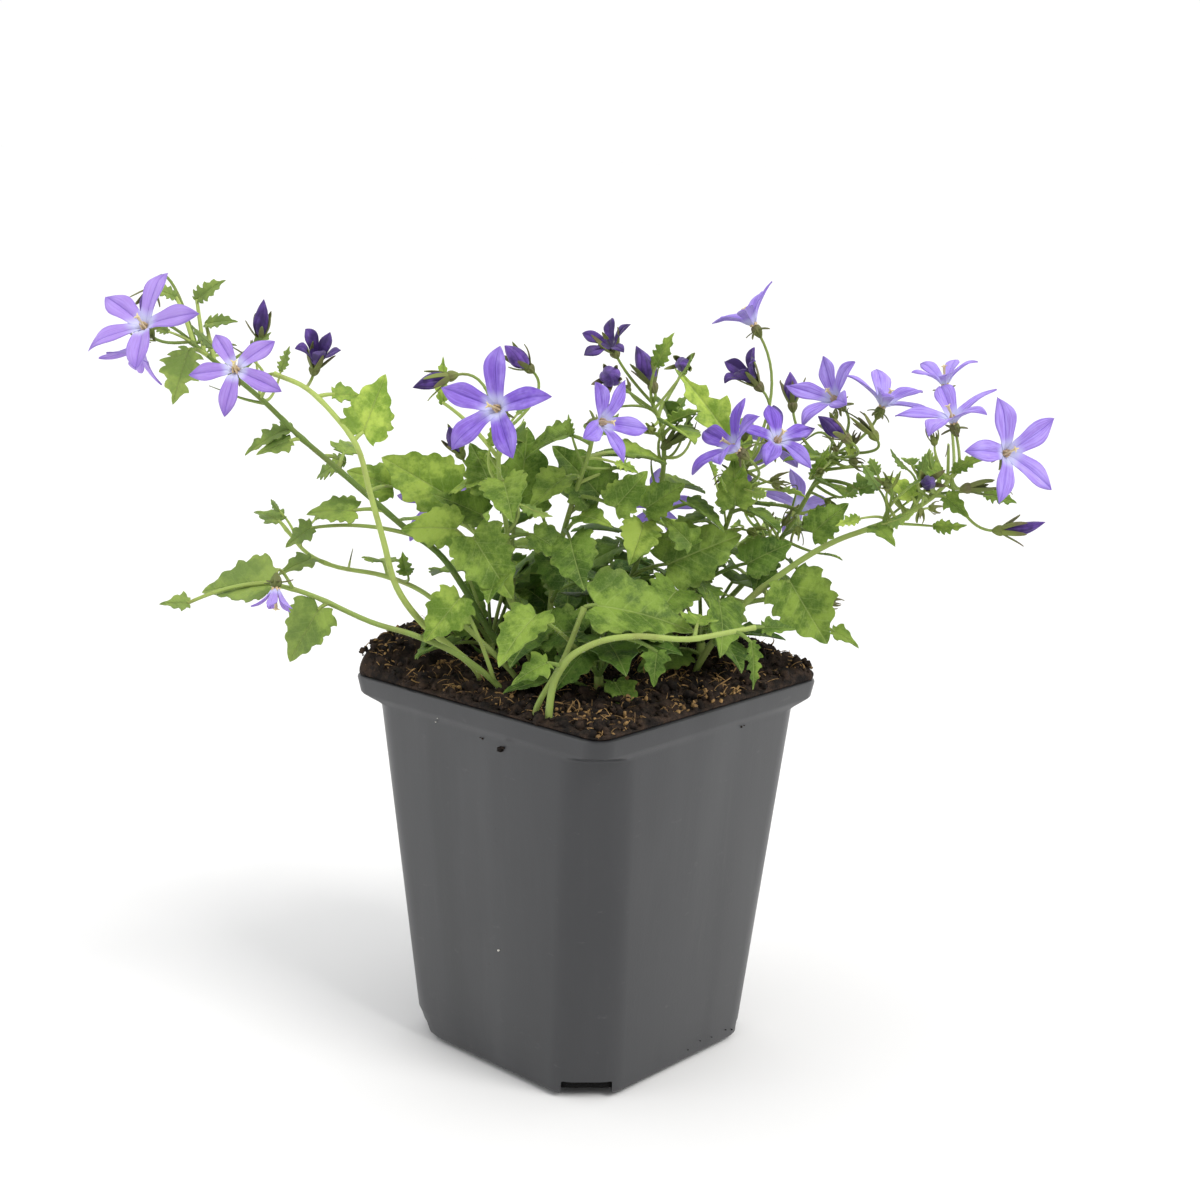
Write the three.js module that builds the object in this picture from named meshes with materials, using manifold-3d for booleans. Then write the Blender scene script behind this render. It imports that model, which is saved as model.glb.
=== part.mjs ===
// Potted bellflower: a square nursery pot, the peat soil that fills it, and a low spreading plant of leafy
// stems, leaf tufts, star flowers and buds. Millimetres, +Z up, origin at the centre of the pot's underside.
import * as THREE from 'three';
import Module from 'manifold-3d';

const wasm = await Module();
wasm.setup();

// Pot
const POT_HEIGHT = 100;
const RIM_WIDTH = 90;
const RIM_BAND = 4.4;
const RIM_TAPER = 1.4;
const BODY_TOP_WIDTH = 87.2;
const BODY_BASE_WIDTH = 71.2;
const BODY_TOP = 94.4;
const CORNER_CUT = 9.7;
const CORNER_SOFTNESS = 1;
const RIM_RADIUS = 4;
const LIP_WIDTH = 1.7;
const WALL = 1;
const FLOOR = 1.2;
const NOTCH = { width: 13.2, height: 3.8, depth: 8 };
const DRAIN = { radius: 3.5, reach: 22 };

// Soil
const GAP = 0.3;
const SOIL_EDGE = 0.8;
const SOIL_SHARES = [0.995, 0.955, 0.86, 0.66, 0.42, 0.16];
const SOIL_ROLL = 12;
const HOLE_CLEARANCE = 0.5;
const HOLE_SHARE = 1.05;

// Plant. Its places are given as seen by a viewer in front of the potted plant: x to the viewer's right,
// y away, z up. The plant group turns them to the pot, which stands with one corner towards the viewer.
const PLANT_TURN = 41.6;
const PLANT_CENTRE = new THREE.Vector3(4, -4, 0);
const BLADE_THICKNESS = 0.7;
const STALK_RADIUS = 0.6;
const PEDICEL_RADIUS = 0.5;
const GOLDEN_ANGLE = 137.5;

const green = { colour: 0x709045, roughness: 0.6, metalness: 0 };
const lilac = { colour: 0xa78bea, roughness: 0.55, metalness: 0 };
const violet = { colour: 0x4b3c78, roughness: 0.5, metalness: 0 };
const black = { colour: 0x57585a, roughness: 0.55, metalness: 0 };
const peat = { colour: 0x221a16, roughness: 0.95, metalness: 0 };

const radians = THREE.MathUtils.degToRad;

// A repeatable stream of numbers from 0 to 1.
function stream(seed) {
  let state = seed * 7919 + 11;
  return () => {
    state = (state * 16807) % 2147483647;
    return state / 2147483647;
  };
}

// The unit vector at an azimuth from +X towards +Y and an elevation above the level.
function direction(azimuth, elevation) {
  const level = Math.cos(radians(elevation));
  return new THREE.Vector3(
    level * Math.cos(radians(azimuth)), level * Math.sin(radians(azimuth)), Math.sin(radians(elevation)));
}

// Closed solids
function solid(vertices, triangles) {
  const vertProperties = new Float32Array(vertices.flatMap((v) => [v.x, v.y, v.z]));
  const triVerts = new Uint32Array(triangles.flat());
  return new wasm.Manifold(new wasm.Mesh({ numProp: 3, vertProperties, triVerts }));
}

// Joins solids into one body, without the scraps and sealed hollows that joining leaves.
const JOIN_TOLERANCE = 0.05;

function fuse(solids) {
  const pieces = wasm.Manifold.union(solids).decompose();
  pieces.sort((a, b) => b.volume() - a.volume());
  return pieces[0].asOriginal().simplify(JOIN_TOLERANCE);
}

function meshOf(name, body, look) {
  const { vertProperties, triVerts } = body.getMesh();
  const geometry = new THREE.BufferGeometry();
  geometry.setAttribute('position', new THREE.BufferAttribute(vertProperties, 3));
  geometry.setIndex(new THREE.BufferAttribute(triVerts, 1));
  geometry.computeVertexNormals();
  const material = new THREE.MeshStandardMaterial(
    { color: look.colour, roughness: look.roughness, metalness: look.metalness });
  const mesh = new THREE.Mesh(geometry, material);
  mesh.name = name;
  return mesh;
}

// A solid through rings of equal point count, each ring counterclockwise seen from beyond the last one.
function loft(rings) {
  const count = rings[0].length;
  const vertices = rings.flat();
  const triangles = [];
  for (let ring = 0; ring + 1 < rings.length; ring += 1) {
    for (let i = 0; i < count; i += 1) {
      const a = ring * count + i;
      const b = ring * count + ((i + 1) % count);
      triangles.push([a, b, b + count], [a, b + count, a + count]);
    }
  }
  const last = (rings.length - 1) * count;
  for (let i = 1; i + 1 < count; i += 1) {
    triangles.push([i + 1, i, 0], [last, last + i, last + i + 1]);
  }
  return solid(vertices, triangles);
}

// A tube through points, with a radius at each and a frame carried along without twist, from a side that
// no stem runs along.
const FIRST_SIDE = [0.36, 0.8, 0.48];

function tube(points, radii, sides) {
  const tangents = points.map((point, i) => {
    const before = points[Math.max(i - 1, 0)];
    const after = points[Math.min(i + 1, points.length - 1)];
    return after.clone().sub(before).normalize();
  });
  const side = new THREE.Vector3(...FIRST_SIDE);
  const rings = points.map((point, i) => {
    side.addScaledVector(tangents[i], -side.dot(tangents[i])).normalize();
    const up = tangents[i].clone().cross(side);
    return Array.from({ length: sides }, (_, k) => {
      const angle = (2 * Math.PI * k) / sides;
      return point.clone()
        .addScaledVector(side, radii[i] * Math.cos(angle))
        .addScaledVector(up, radii[i] * Math.sin(angle));
    });
  });
  return loft(rings);
}

// A sheet of one thickness on both sides of its points, split into triangles alike on both faces. Its rim
// is closed all round, apart from the edge between the points of an opening for a stalk.
function slab(points, normals, faces, thickness, opening = []) {
  const count = points.length;
  const vertices = [];
  for (const reach of [thickness / 2, -thickness / 2]) {
    points.forEach((point, i) => vertices.push(point.clone().addScaledVector(normals[i], reach)));
  }
  const triangles = [];
  const edges = new Map();
  for (const [a, b, c] of faces) {
    triangles.push([a, b, c], [a + count, c + count, b + count]);
    for (const [p, q] of [[a, b], [b, c], [c, a]]) edges.set(`${p} ${q}`, [p, q]);
  }
  for (const [p, q] of edges.values()) {
    const rim = !edges.has(`${q} ${p}`) && !(opening.includes(p) && opening.includes(q));
    if (rim) triangles.push([q, p, p + count], [q, p + count, q + count]);
  }
  return { vertices, triangles };
}

// Heart-shaped leaf blade with coarse teeth: half its outline from the stalk to the tip, as shares of its
// length along and across, and the points on its midrib that the faces meet at.
const LEAF_LARGE = {
  half: [[-0.12, 0.3], [0.1, 0.47], [0.22, 0.38], [0.46, 0.4], [0.6, 0.22]], rib: [0.22, 0.58] };
const LEAF_SMALL = { half: [[-0.05, 0.26], [0.26, 0.38], [0.58, 0.2]], rib: [0.34] };
const LARGE_LEAF = 11.5;
const LEAF_FOLD = 0.22;
const LEAF_DROOP = 0.2;
const STALK_BEND = 0.12;
const STALK_FLATNESS = 0.8;
const LONG_STALK = 9;

// Faces between an outline and the midrib point nearest to each of its edges.
function bladeFaces(outline, ribs, along) {
  const nearest = (p, q) => {
    const middle = (along[p] + along[q]) / 2;
    return ribs.reduce((best, rib) =>
      (Math.abs(along[rib] - middle) < Math.abs(along[best] - middle) ? rib : best));
  };
  const faces = [];
  for (let p = 0; p < outline; p += 1) {
    const q = (p + 1) % outline;
    const rib = nearest(p, q);
    const next = nearest(q, (p + 2) % outline);
    faces.push([p, q, rib]);
    if (next !== rib) faces.push([q, next, rib]);
  }
  return faces;
}

// A leaf with its stalk, from a point inside the stem. The stalk's four sides run on into the blade.
function leaf(start, base, [azimuth, length, pitch, faceAzimuth, faceElevation, width = LEAF_WIDTH]) {
  const ahead = direction(azimuth, pitch);
  const normal = direction(faceAzimuth, faceElevation);
  normal.addScaledVector(ahead, -normal.dot(ahead)).normalize();
  const across = normal.clone().cross(ahead);
  const stalk = start.distanceTo(base);
  const neck = STALK_RADIUS / (width * length);
  const { half, rib } = length > LARGE_LEAF ? LEAF_LARGE : LEAF_SMALL;
  const right = half.map(([u, v]) => [u, -v]);
  const left = [...half].reverse();
  const outline = [[0, -neck], ...right, [1, 0], ...left, [0, neck]];
  const places = [...outline, ...rib.map((u) => [u, 0])];
  const points = places.map(([u, v]) => base.clone()
    .addScaledVector(ahead, u * length)
    .addScaledVector(across, v * width * length)
    .addScaledVector(normal, length * (LEAF_FOLD * Math.abs(v) - LEAF_DROOP * u * Math.abs(u))));
  const count = points.length;
  const last = outline.length - 1;
  const ribs = rib.map((_, i) => outline.length + i);
  const faces = bladeFaces(outline.length, ribs, places.map(([u]) => u));
  const { vertices, triangles } = slab(points, points.map(() => normal), faces, BLADE_THICKNESS, [0, last]);
  const bend = start.clone().lerp(base, 0.5).add(new THREE.Vector3(0, 0, STALK_BEND * stalk));
  const curve = new THREE.QuadraticBezierCurve3(base, bend, start);
  const steps = stalk > LONG_STALK ? 2 : 1;
  let ring = [0, last, last + count, count];
  for (let step = 1; step <= steps; step += 1) {
    const centre = curve.getPoint(step / steps);
    const tangent = curve.getTangent(step / steps);
    const side = across.clone().addScaledVector(tangent, -across.dot(tangent)).normalize();
    const lift = side.clone().cross(tangent);
    const next = [[-1, 1], [1, 1], [1, -1], [-1, -1]].map(([i, j]) => vertices.push(centre.clone()
      .addScaledVector(side, i * STALK_RADIUS)
      .addScaledVector(lift, j * STALK_RADIUS * STALK_FLATNESS)) - 1);
    ring.forEach((a, i) => {
      const b = ring[(i + 1) % 4];
      const [c, d] = [next[i], next[(i + 1) % 4]];
      triangles.push([a, b, d], [a, d, c]);
    });
    ring = next;
  }
  triangles.push([ring[0], ring[1], ring[2]], [ring[0], ring[2], ring[3]]);
  return solid(vertices, triangles);
}

// The green cup under a flower or bud, with five narrow sepals, on its own thin stalk.
const FIFTH = 72;
const CUP_DEPTH = 4.4;
const CUP_CLEAR = 1.7;
const CUP_WAIST = 2.5;
const CUP_RADIUS = 1.3;
const SEPAL_LENGTH = 5.2;
const SEPAL_BACK = 20;
const BUD_SEPAL_RISE = 40;
const BUD_CUP_CLEAR = 2.6;
const NEARLY_UPRIGHT = 0.05;

function axes(azimuth, elevation, spin) {
  const out = direction(azimuth, elevation);
  const side = new THREE.Vector3(0, 0, 1).addScaledVector(out, -out.z);
  if (side.length() < NEARLY_UPRIGHT) side.set(1, 0, 0).addScaledVector(out, -out.x);
  side.normalize();
  side.applyAxisAngle(out, radians(spin));
  return { out, side, up: out.clone().cross(side) };
}

function radial(frame, degrees) {
  return frame.side.clone().multiplyScalar(Math.cos(radians(degrees)))
    .addScaledVector(frame.up, Math.sin(radians(degrees)));
}

// The cup and its five sepals are one star, drawn down to the stalk.
function calyx(centre, frame, sepalRise, clear) {
  const along = (height) => centre.clone().addScaledVector(frame.out, height);
  const vertices = [along(-clear), along(-CUP_DEPTH)];
  const triangles = [];
  const lift = SEPAL_LENGTH * Math.tan(radians(sepalRise));
  for (let k = 0; k < 5; k += 1) {
    vertices.push(along(-CUP_WAIST).addScaledVector(radial(frame, FIFTH * k), CUP_RADIUS));
    vertices.push(along(lift - CUP_WAIST)
      .addScaledVector(radial(frame, FIFTH * (k + 0.5)), SEPAL_LENGTH));
  }
  for (let i = 0; i < 10; i += 1) {
    const [p, q] = [2 + i, 2 + ((i + 1) % 10)];
    triangles.push([0, p, q], [1, q, p]);
  }
  return solid(vertices, triangles);
}

const PEDICEL_SUNK = 0.6;
const PEDICEL_BEND = 0.45;
const LONG_PEDICEL = 7;

function pedicel(start, centre, frame) {
  const end = centre.clone().addScaledVector(frame.out, PEDICEL_SUNK - CUP_DEPTH);
  const bend = end.clone().addScaledVector(frame.out, -PEDICEL_BEND * start.distanceTo(end));
  const steps = start.distanceTo(end) > LONG_PEDICEL ? 2 : 1;
  const points = new THREE.QuadraticBezierCurve3(start, bend, end).getPoints(steps);
  return tube(points, points.map(() => PEDICEL_RADIUS), 3);
}

// One corolla: five pointed petals joined in a shallow throat, creased along the middle.
const PETAL_COUNT = 5;
const PETAL_JOINT = 0.12;
const PETAL_MIDDLE = 0.46;
const PETAL_HALF_WIDTH = 0.23;
const PETAL_CREASE = 0.05;
const PETAL_ARCH = 30;
const THROAT_RADIUS = 1.9;

function corolla(centre, frame, length, open) {
  const points = [];
  const normals = [];
  // A petal rises at the angle of opening and arches back towards its tip.
  const place = (angle, share, sideways, lift) => {
    const away = radial(frame, angle);
    const across = radial(frame, angle + 90);
    const rise = radians(open);
    const arch = radians(open - PETAL_ARCH * share);
    const reach = THROAT_RADIUS * 0.5 + length * share * Math.cos((rise + arch) / 2);
    const height = length * share * Math.sin((rise + arch) / 2) + lift * length;
    points.push(centre.clone().addScaledVector(away, reach)
      .addScaledVector(across, sideways * length).addScaledVector(frame.out, height));
    normals.push(frame.out.clone().multiplyScalar(Math.cos(arch)).addScaledVector(away, -Math.sin(arch)));
  };
  points.push(centre.clone().addScaledVector(frame.out, (GAP - CUP_CLEAR) / 2));
  normals.push(frame.out.clone().multiplyScalar((CUP_CLEAR - GAP) / BLADE_THICKNESS));
  const faces = [];
  for (let k = 0; k < PETAL_COUNT; k += 1) {
    const angle = FIFTH * k;
    place(angle + FIFTH / 2, PETAL_JOINT, 0, 0);
    place(angle, PETAL_MIDDLE, -PETAL_HALF_WIDTH, PETAL_CREASE);
    place(angle, 1, 0, 0);
    place(angle, PETAL_MIDDLE, PETAL_HALF_WIDTH, PETAL_CREASE);
    place(angle, PETAL_MIDDLE, 0, 0);
    const [joint, right, tip, left, rib] = [1, 2, 3, 4, 5].map((i) => 5 * k + i);
    const before = 1 + 5 * ((k + PETAL_COUNT - 1) % PETAL_COUNT);
    faces.push(
      [0, before, rib], [before, right, rib], [right, tip, rib], [tip, left, rib], [left, joint, rib],
      [0, rib, joint]);
  }
  const { vertices, triangles } = slab(points, normals, faces, BLADE_THICKNESS);
  return solid(vertices, triangles);
}

// A closed bud: a pointed spindle with five twisted faces.
const BUD_PROFILE = [[0, 0.1], [0.3, 0.21], [0.65, 0.17], [1, 0.02]];
const BUD_TWIST = 40;

function bud(centre, frame, length) {
  const rings = BUD_PROFILE.map(([share, radius]) => Array.from({ length: 5 }, (_, k) => centre.clone()
    .addScaledVector(frame.out, -CUP_CLEAR + GAP + share * length)
    .addScaledVector(radial(frame, FIFTH * k + BUD_TWIST * share), radius * length)));
  return loft(rings);
}

// Pot
function corner(width, shape) {
  const half = width / 2;
  if (shape === 'cut') {
    const slant = CORNER_SOFTNESS * Math.SQRT1_2;
    const inner = half - CORNER_CUT;
    return [
      [half, inner - CORNER_SOFTNESS], [half - slant, inner + slant],
      [inner + slant, half - slant], [inner - CORNER_SOFTNESS, half]];
  }
  const middle = half - RIM_RADIUS;
  return [0, 30, 60, 90].map((angle) => [
    middle + RIM_RADIUS * Math.cos(radians(angle)), middle + RIM_RADIUS * Math.sin(radians(angle))]);
}

// The square ring of a width at a height, with extra points along each side.
function squareRing(width, z, shape, extra) {
  const points = [];
  for (let k = 0; k < 4; k += 1) {
    const turn = (k * Math.PI) / 2;
    const here = corner(width, shape);
    const nextStart = corner(width, shape)[0];
    const sideEnd = [-nextStart[1], nextStart[0]];
    const line = [...here];
    for (let i = 1; i <= extra; i += 1) {
      const share = i / (extra + 1);
      line.push([
        here[3][0] + (sideEnd[0] - here[3][0]) * share, here[3][1] + (sideEnd[1] - here[3][1]) * share]);
    }
    for (const [x, y] of line) {
      points.push(new THREE.Vector3(
        x * Math.cos(turn) - y * Math.sin(turn), x * Math.sin(turn) + y * Math.cos(turn), z));
    }
  }
  return points;
}

function bodyWidth(z) {
  return BODY_BASE_WIDTH + ((BODY_TOP_WIDTH - BODY_BASE_WIDTH) * z) / BODY_TOP;
}

function shapeSolid(geometry) {
  const plain = geometry.toNonIndexed();
  const position = plain.getAttribute('position');
  const keys = new Map();
  const vertices = [];
  const triangles = [];
  for (let i = 0; i < position.count; i += 3) {
    triangles.push([0, 1, 2].map((j) => {
      const point = new THREE.Vector3().fromBufferAttribute(position, i + j);
      const key = point.toArray().map((value) => value.toFixed(4)).join();
      if (!keys.has(key)) {
        keys.set(key, vertices.length);
        vertices.push(point);
      }
      return keys.get(key);
    }));
  }
  return solid(vertices, triangles.filter(([a, b, c]) => a !== b && b !== c && c !== a));
}

function potBody() {
  const shell = loft([
    squareRing(BODY_BASE_WIDTH, 0, 'cut', 0),
    squareRing(BODY_TOP_WIDTH, BODY_TOP, 'cut', 0),
    squareRing(RIM_WIDTH - RIM_TAPER, POT_HEIGHT - RIM_BAND, 'round', 0),
    squareRing(RIM_WIDTH, POT_HEIGHT, 'round', 0),
    squareRing(RIM_WIDTH - 2 * LIP_WIDTH, POT_HEIGHT, 'round', 0),
    squareRing(BODY_TOP_WIDTH - 2 * WALL, BODY_TOP, 'cut', 0),
    squareRing(bodyWidth(FLOOR) - 2 * WALL, FLOOR, 'cut', 0),
  ]);
  const notchReach = (BODY_BASE_WIDTH - CORNER_CUT) * Math.SQRT1_2;
  const cutters = [0, 1, 2, 3].map((k) => {
    const box = new THREE.BoxGeometry(2 * NOTCH.depth, NOTCH.width, 2 * NOTCH.height);
    box.translate(notchReach, 0, 0).rotateZ(radians(45 + 90 * k));
    return shapeSolid(box);
  });
  const drains = [0, 1, 2, 3].map((k) => {
    const hole = new THREE.CylinderGeometry(DRAIN.radius, DRAIN.radius, 4 * FLOOR, 8);
    hole.rotateX(Math.PI / 2).translate(DRAIN.reach, 0, 0).rotateZ(radians(90 * k));
    return shapeSolid(hole);
  });
  return fuse([shell]).subtract(wasm.Manifold.union([...cutters, ...drains]));
}

// Soil: heaps as [x, y, height, spread] in the viewer's directions, above a shallow dome.
const SOIL_STEP = 0.6;
const SOIL_LIFT = 1;
const SOIL_DOME = 3;
const SOIL_HEAPS = [
  [-58, 3, 7, 9], [-46, 14, 8, 12], [-20, 24, 4, 14], [38, 20, 7, 13], [56, 2, 2.5, 8],
  [-12, -46, -1.5, 12]];
const SOIL_RIPPLE = 0.7;

function soilTop(x, y, share) {
  const turn = radians(-PLANT_TURN);
  const across = x * Math.cos(turn) - y * Math.sin(turn);
  const away = x * Math.sin(turn) + y * Math.cos(turn);
  const heaps = SOIL_HEAPS.reduce((sum, [cx, cy, height, spread]) =>
    sum + height * Math.exp(-((across - cx) ** 2 + (away - cy) ** 2) / (2 * spread ** 2)), 0);
  const ripple = SOIL_RIPPLE * (Math.sin(0.9 * across + 1.3) * Math.cos(0.75 * away)
    + Math.sin(0.55 * across - 0.8 * away));
  const rolled = Math.sqrt(1 - share ** SOIL_ROLL);
  const mound = SOIL_LIFT + SOIL_DOME * (1 - share ** 2) + heaps + ripple;
  return POT_HEIGHT + GAP + SOIL_STEP + mound * rolled;
}

function soilBody(holes) {
  const extra = 3;
  const inside = (z) => bodyWidth(z) - 2 * WALL - 2 * GAP;
  const rings = [
    squareRing(inside(FLOOR + GAP), FLOOR + GAP, 'cut', extra),
    squareRing(inside(BODY_TOP), BODY_TOP, 'cut', extra),
    squareRing(RIM_WIDTH - 2 * LIP_WIDTH - 2 * GAP, POT_HEIGHT + GAP, 'round', extra),
    squareRing(RIM_WIDTH - 2 * SOIL_EDGE, POT_HEIGHT + GAP, 'round', extra),
  ];
  const edge = rings[rings.length - 1];
  for (const share of SOIL_SHARES) {
    rings.push(edge.map((point) => {
      const x = point.x * share;
      const y = point.y * share;
      return new THREE.Vector3(x, y, soilTop(x, y, share));
    }));
  }
  return fuse([loft(rings).subtract(wasm.Manifold.union(holes))]);
}

// Stems. Each route starts below the soil. A leaf is [place along the route, azimuth, rise, stalk, length,
// pitch, azimuth that its face looks to, elevation that it looks to]. A bloom is [name, place along the
// route, x, y, z, azimuth, elevation, petal length, opening, spin], a bud the same up to its length. A
// placed leaf is [place along the route, x, y, z of its blade's base, azimuth, length, pitch, azimuth and
// elevation that its face looks to, width in lengths where it is a narrow one]. A spent flower leaves its
// cup: [place along the route, x, y, z, azimuth, elevation]. The leaves of a spread stand round the route
// by the golden angle, drawn between the two ends of each range.
const LEAF_WIDTH = 0.9;
const SPREAD_PITCH = [-35, 10];
const SPREAD_FACE = [45, 80];
const SPREAD_WANDER = 40;
const SPREAD_START = 23;

const STEMS = [
  {
    name: 'stem_left_arch', radius: [1.1, 0.65], sides: 4,
    route: [[-27, -17, 97], [-28, -19, 105], [-34, -23, 112], [-42, -27, 120], [-48, -31, 130],
      [-51, -33, 142], [-54, -35, 154], [-57, -35, 165], [-63, -34, 173], [-70, -32, 179], [-78, -30, 182]],
    leaves: [[0.72, 10, 40, 3, 15, 70, -90, 10], [0.86, 10, 10, 4, 8, 0, -90, 50]],
    blooms: [['bloom_left_2', 1, -87, -32, 183, -91, 25, 10.8, 6, 27]],
    buds: [['bud_left_3', 0.9, -68, -28, 185, -64, 54, 8.5]],
  },
  {
    name: 'stem_left_long', radius: [1.1, 0.65], sides: 4,
    route: [[-17, -10, 98], [-19, -11, 106], [-26, -12, 115], [-33, -13, 127], [-39, -13, 135],
      [-48, -14, 142], [-57, -15, 150], [-66, -16, 158], [-74, -17, 165], [-83, -18, 174],
      [-93, -18, 182], [-101, -17, 188]],
    leaves: [[0.72, 200, -10, 3, 9, -15, -90, 50],
      [0.5, 185, 0, 8, 12, 4, -90, 55], [0.42, 182, 4, 27, 9, -35, -90, 40],
      [0.62, 80, 35, 6, 11, 15, -60, 60]],
    placed: [[0.96, -100, -14, 198, -15, 9, 41, -90, 35, 0.6],
      [0.93, -98, -13, 192, -26, 9, 16, -80, 50, 0.6], [0.99, -106, -8, 198, -150, 8.5, 29, -100, 45, 0.5],
      [0.95, -100, -24, 187, -117, 14, -62, -95, 15, 0.8],
      [0.78, -76, -16, 167, -169, 13.5, -20, -90, 60, 0.5]],
    blooms: [['bloom_left_1', 1, -111, -23, 192, -115, 40, 14.5, 25, -10],
      ['bloom_left_behind', 0.97, -115, -12, 186, -120, -60, 10, 50, 0]],
    buds: [['bud_left_1', 0.98, -114, -4, 198, -106, -48, 7.5],
      ['bud_left_2', 0.88, -84, -14, 191, -78, 58, 10]],
  },
  {
    name: 'stem_left_low', radius: [1, 0.6], sides: 4,
    route: [[-21, -26, 96], [-22, -26, 103], [-32, -29, 112], [-43, -33, 118], [-54, -36, 122],
      [-68, -39, 129], [-78, -40, 132]],
    leaves: [[0.97, 180, 5, 2, 17, -2, -90, 55], [0.78, 205, -25, 3, 15, -58, -100, 10],
      [1, 190, -14, 20, 7, 5, -90, 50]],
    placed: [[0.2, -32, -33, 128, 205, 14, -48, -95, 25]],
    blooms: [['bloom_left_small', 0.9, -75, -49, 132, -87, -64, 5.8, 60, 13]],
    buds: [],
  },
  {
    name: 'stem_left_mid', radius: [0.9, 0.55], sides: 4,
    route: [[-17, -19, 97], [-18, -20, 104], [-28, -19, 114], [-37, -16, 121], [-45, -10, 125],
      [-55, -4, 127], [-67, 0, 128], [-75, 2, 131], [-81, 4, 137]],
    leaves: [[1, 150, 40, 3, 9, 20, -90, 60], [0.8, 220, 20, 4, 10, -10, -90, 60],
      [0.6, 110, 30, 6, 12, 0, 100, 60]],
    blooms: [],
    buds: [],
  },
  {
    name: 'stem_front_runner', radius: [1.1, 0.7], sides: 4,
    route: [[-9, -46, 95], [-9, -46, 102], [-8, -46, 110], [-5, -47, 116], [-1, -48, 119.5],
      [5, -48, 122], [13, -48, 123], [24, -46, 122], [33, -43, 123], [41, -40, 124]],
    leaves: [[1, 0, 0, 2, 8, 5, -90, 50], [0.3, 200, 20, 4, 10, -20, -110, 40],
      [0.8, 80, 30, 5, 11, 10, -90, 60]],
    placed: [[0.6, 17, -46, 119, -128, 9.2, -80, -90, 5], [0.93, 40, -43, 121, -34, 12, -78, -60, 5, 0.4]],
    blooms: [],
    buds: [],
  },
  {
    name: 'stem_front_leaf', radius: [0.9, 0.7], sides: 4,
    route: [[-13, -43, 96], [-12, -42, 103], [-6, -39, 114], [-1, -38, 127.5]],
    leaves: [[1, 2, 12, 3, 25, -6, -90, 58]],
    blooms: [],
    buds: [],
  },
  {
    name: 'stem_centre_left', radius: [1, 0.6], sides: 4,
    route: [[-13, -15, 97], [-14, -16, 106], [-18, -19, 117], [-20, -22, 129], [-21, -25, 144],
      [-23, -27, 158], [-23, -29, 168]],
    leaves: [],
    placed: [[0.45, -37, -7, 149, 180, 20, 30, -100, 35], [0.5, -28, -16, 146, 180, 13, 25, -80, 40],
      [0.45, -34, -21, 143, 180, 14, 5, -90, 30], [0.4, -29, -31, 143, -25, 18, -52, -95, 25],
      [0.7, -25, -22, 154, 150, 13, 60, -90, 10], [0.55, -19, -13, 148, 20, 20, 78, -70, 5]],
    spread: { count: 6, from: 0.42, to: 0.95, stalk: [4, 10], rise: [5, 45], length: [12, 16], seed: 19 },
    blooms: [['bloom_centre_left', 1, -23, -39, 176, -120, 24, 14.3, 28, 5]],
    buds: [['bud_centre_1', 0.9, -38, -22, 181, -163, -13, 9],
      ['bud_centre_2', 0.8, -34, -20, 164, -120, 54, 8], ['bud_centre_3', 1, -18, -17, 185, -137, 36, 9]],
  },
  {
    name: 'stem_centre', radius: [1, 0.6], sides: 4,
    route: [[-8, -8, 98], [-9, -9, 107], [-10, -12, 121], [-8, -15, 137], [-4, -18, 153], [-1, -22, 163],
      [0, -26, 169]],
    leaves: [],
    placed: [[0.6, 2, -17, 152, 180, 17, 48, -85, 20], [0.35, -6, -20, 131, 175, 13, 50, -90, 15],
      [0.65, 6, -23, 150, 0, 12, 50, -85, 30]],
    spread: { count: 6, from: 0.4, to: 0.95, stalk: [4, 10], rise: [5, 45], length: [11, 15], seed: 7 },
    blooms: [['bloom_centre', 1, 2, -36, 173, -41, 11, 11.1, 38, 32]],
    buds: [],
  },
  {
    name: 'stem_centre_right', radius: [1, 0.6], sides: 4,
    route: [[4, -7, 98], [4, -6, 107], [9, -4, 122], [14, -3, 138], [18, -3, 153], [18, -3, 166],
      [15, -4, 174]],
    leaves: [],
    placed: [[0.4, 20, -10, 133, 5, 21, 25, -85, 25], [0.6, 14, -12, 148, 10, 12, 35, -90, 30],
      [0.5, 26, -14, 139, 160, 11, 45, -80, 20]],
    spread: { count: 6, from: 0.4, to: 0.97, stalk: [4, 9], rise: [5, 45], length: [10, 15], seed: 4 },
    blooms: [],
    buds: [['bud_centre_4', 0.95, 4, -18, 182, -92, 10, 7.5], ['bud_centre_5', 1, 4, -9, 189, -123, 48, 8],
      ['bud_centre_6', 1, 14, -6, 181, 151, 66, 10], ['bud_centre_7', 0.93, 23, 8, 183, -98, 6, 7.5]],
    spent: [[0.8, 21, -3, 165, 10, 40]],
  },
  {
    name: 'stem_right_centre', radius: [1, 0.6], sides: 4,
    route: [[13, 0, 98], [15, 0, 108], [26, 1, 121], [34, 2, 137], [38, 1, 150], [40, -1, 158]],
    leaves: [],
    placed: [[0.9, 39, -4, 160, -172, 29, 57, -70, 15, 0.42], [0.75, 37, -9, 149, 100, 12, 80, -90, 5],
      [0.45, 41, -6, 133, 5, 13, 30, -90, 30]],
    spread: { count: 5, from: 0.4, to: 0.85, stalk: [4, 9], rise: [5, 45], length: [10, 15], seed: 11 },
    blooms: [['bloom_right_1', 0.85, 36, -19, 165, -162, 37, 12.8, 40, 19],
      ['bloom_right_2', 1, 47, -10, 166, -69, 48, 11, 21, -1],
      ['bloom_right_3', 0.95, 49, 20, 161, 80, 25, 11, 30, 0],
      ['bloom_right_high', 1, 41, 12, 194, 175, 58, 11.1, 43, -14]],
    buds: [['bud_right_1', 0.97, 41, 4, 180, -164, 45, 9]],
  },
  {
    name: 'stem_right_upper', radius: [1, 0.6], sides: 4,
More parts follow.
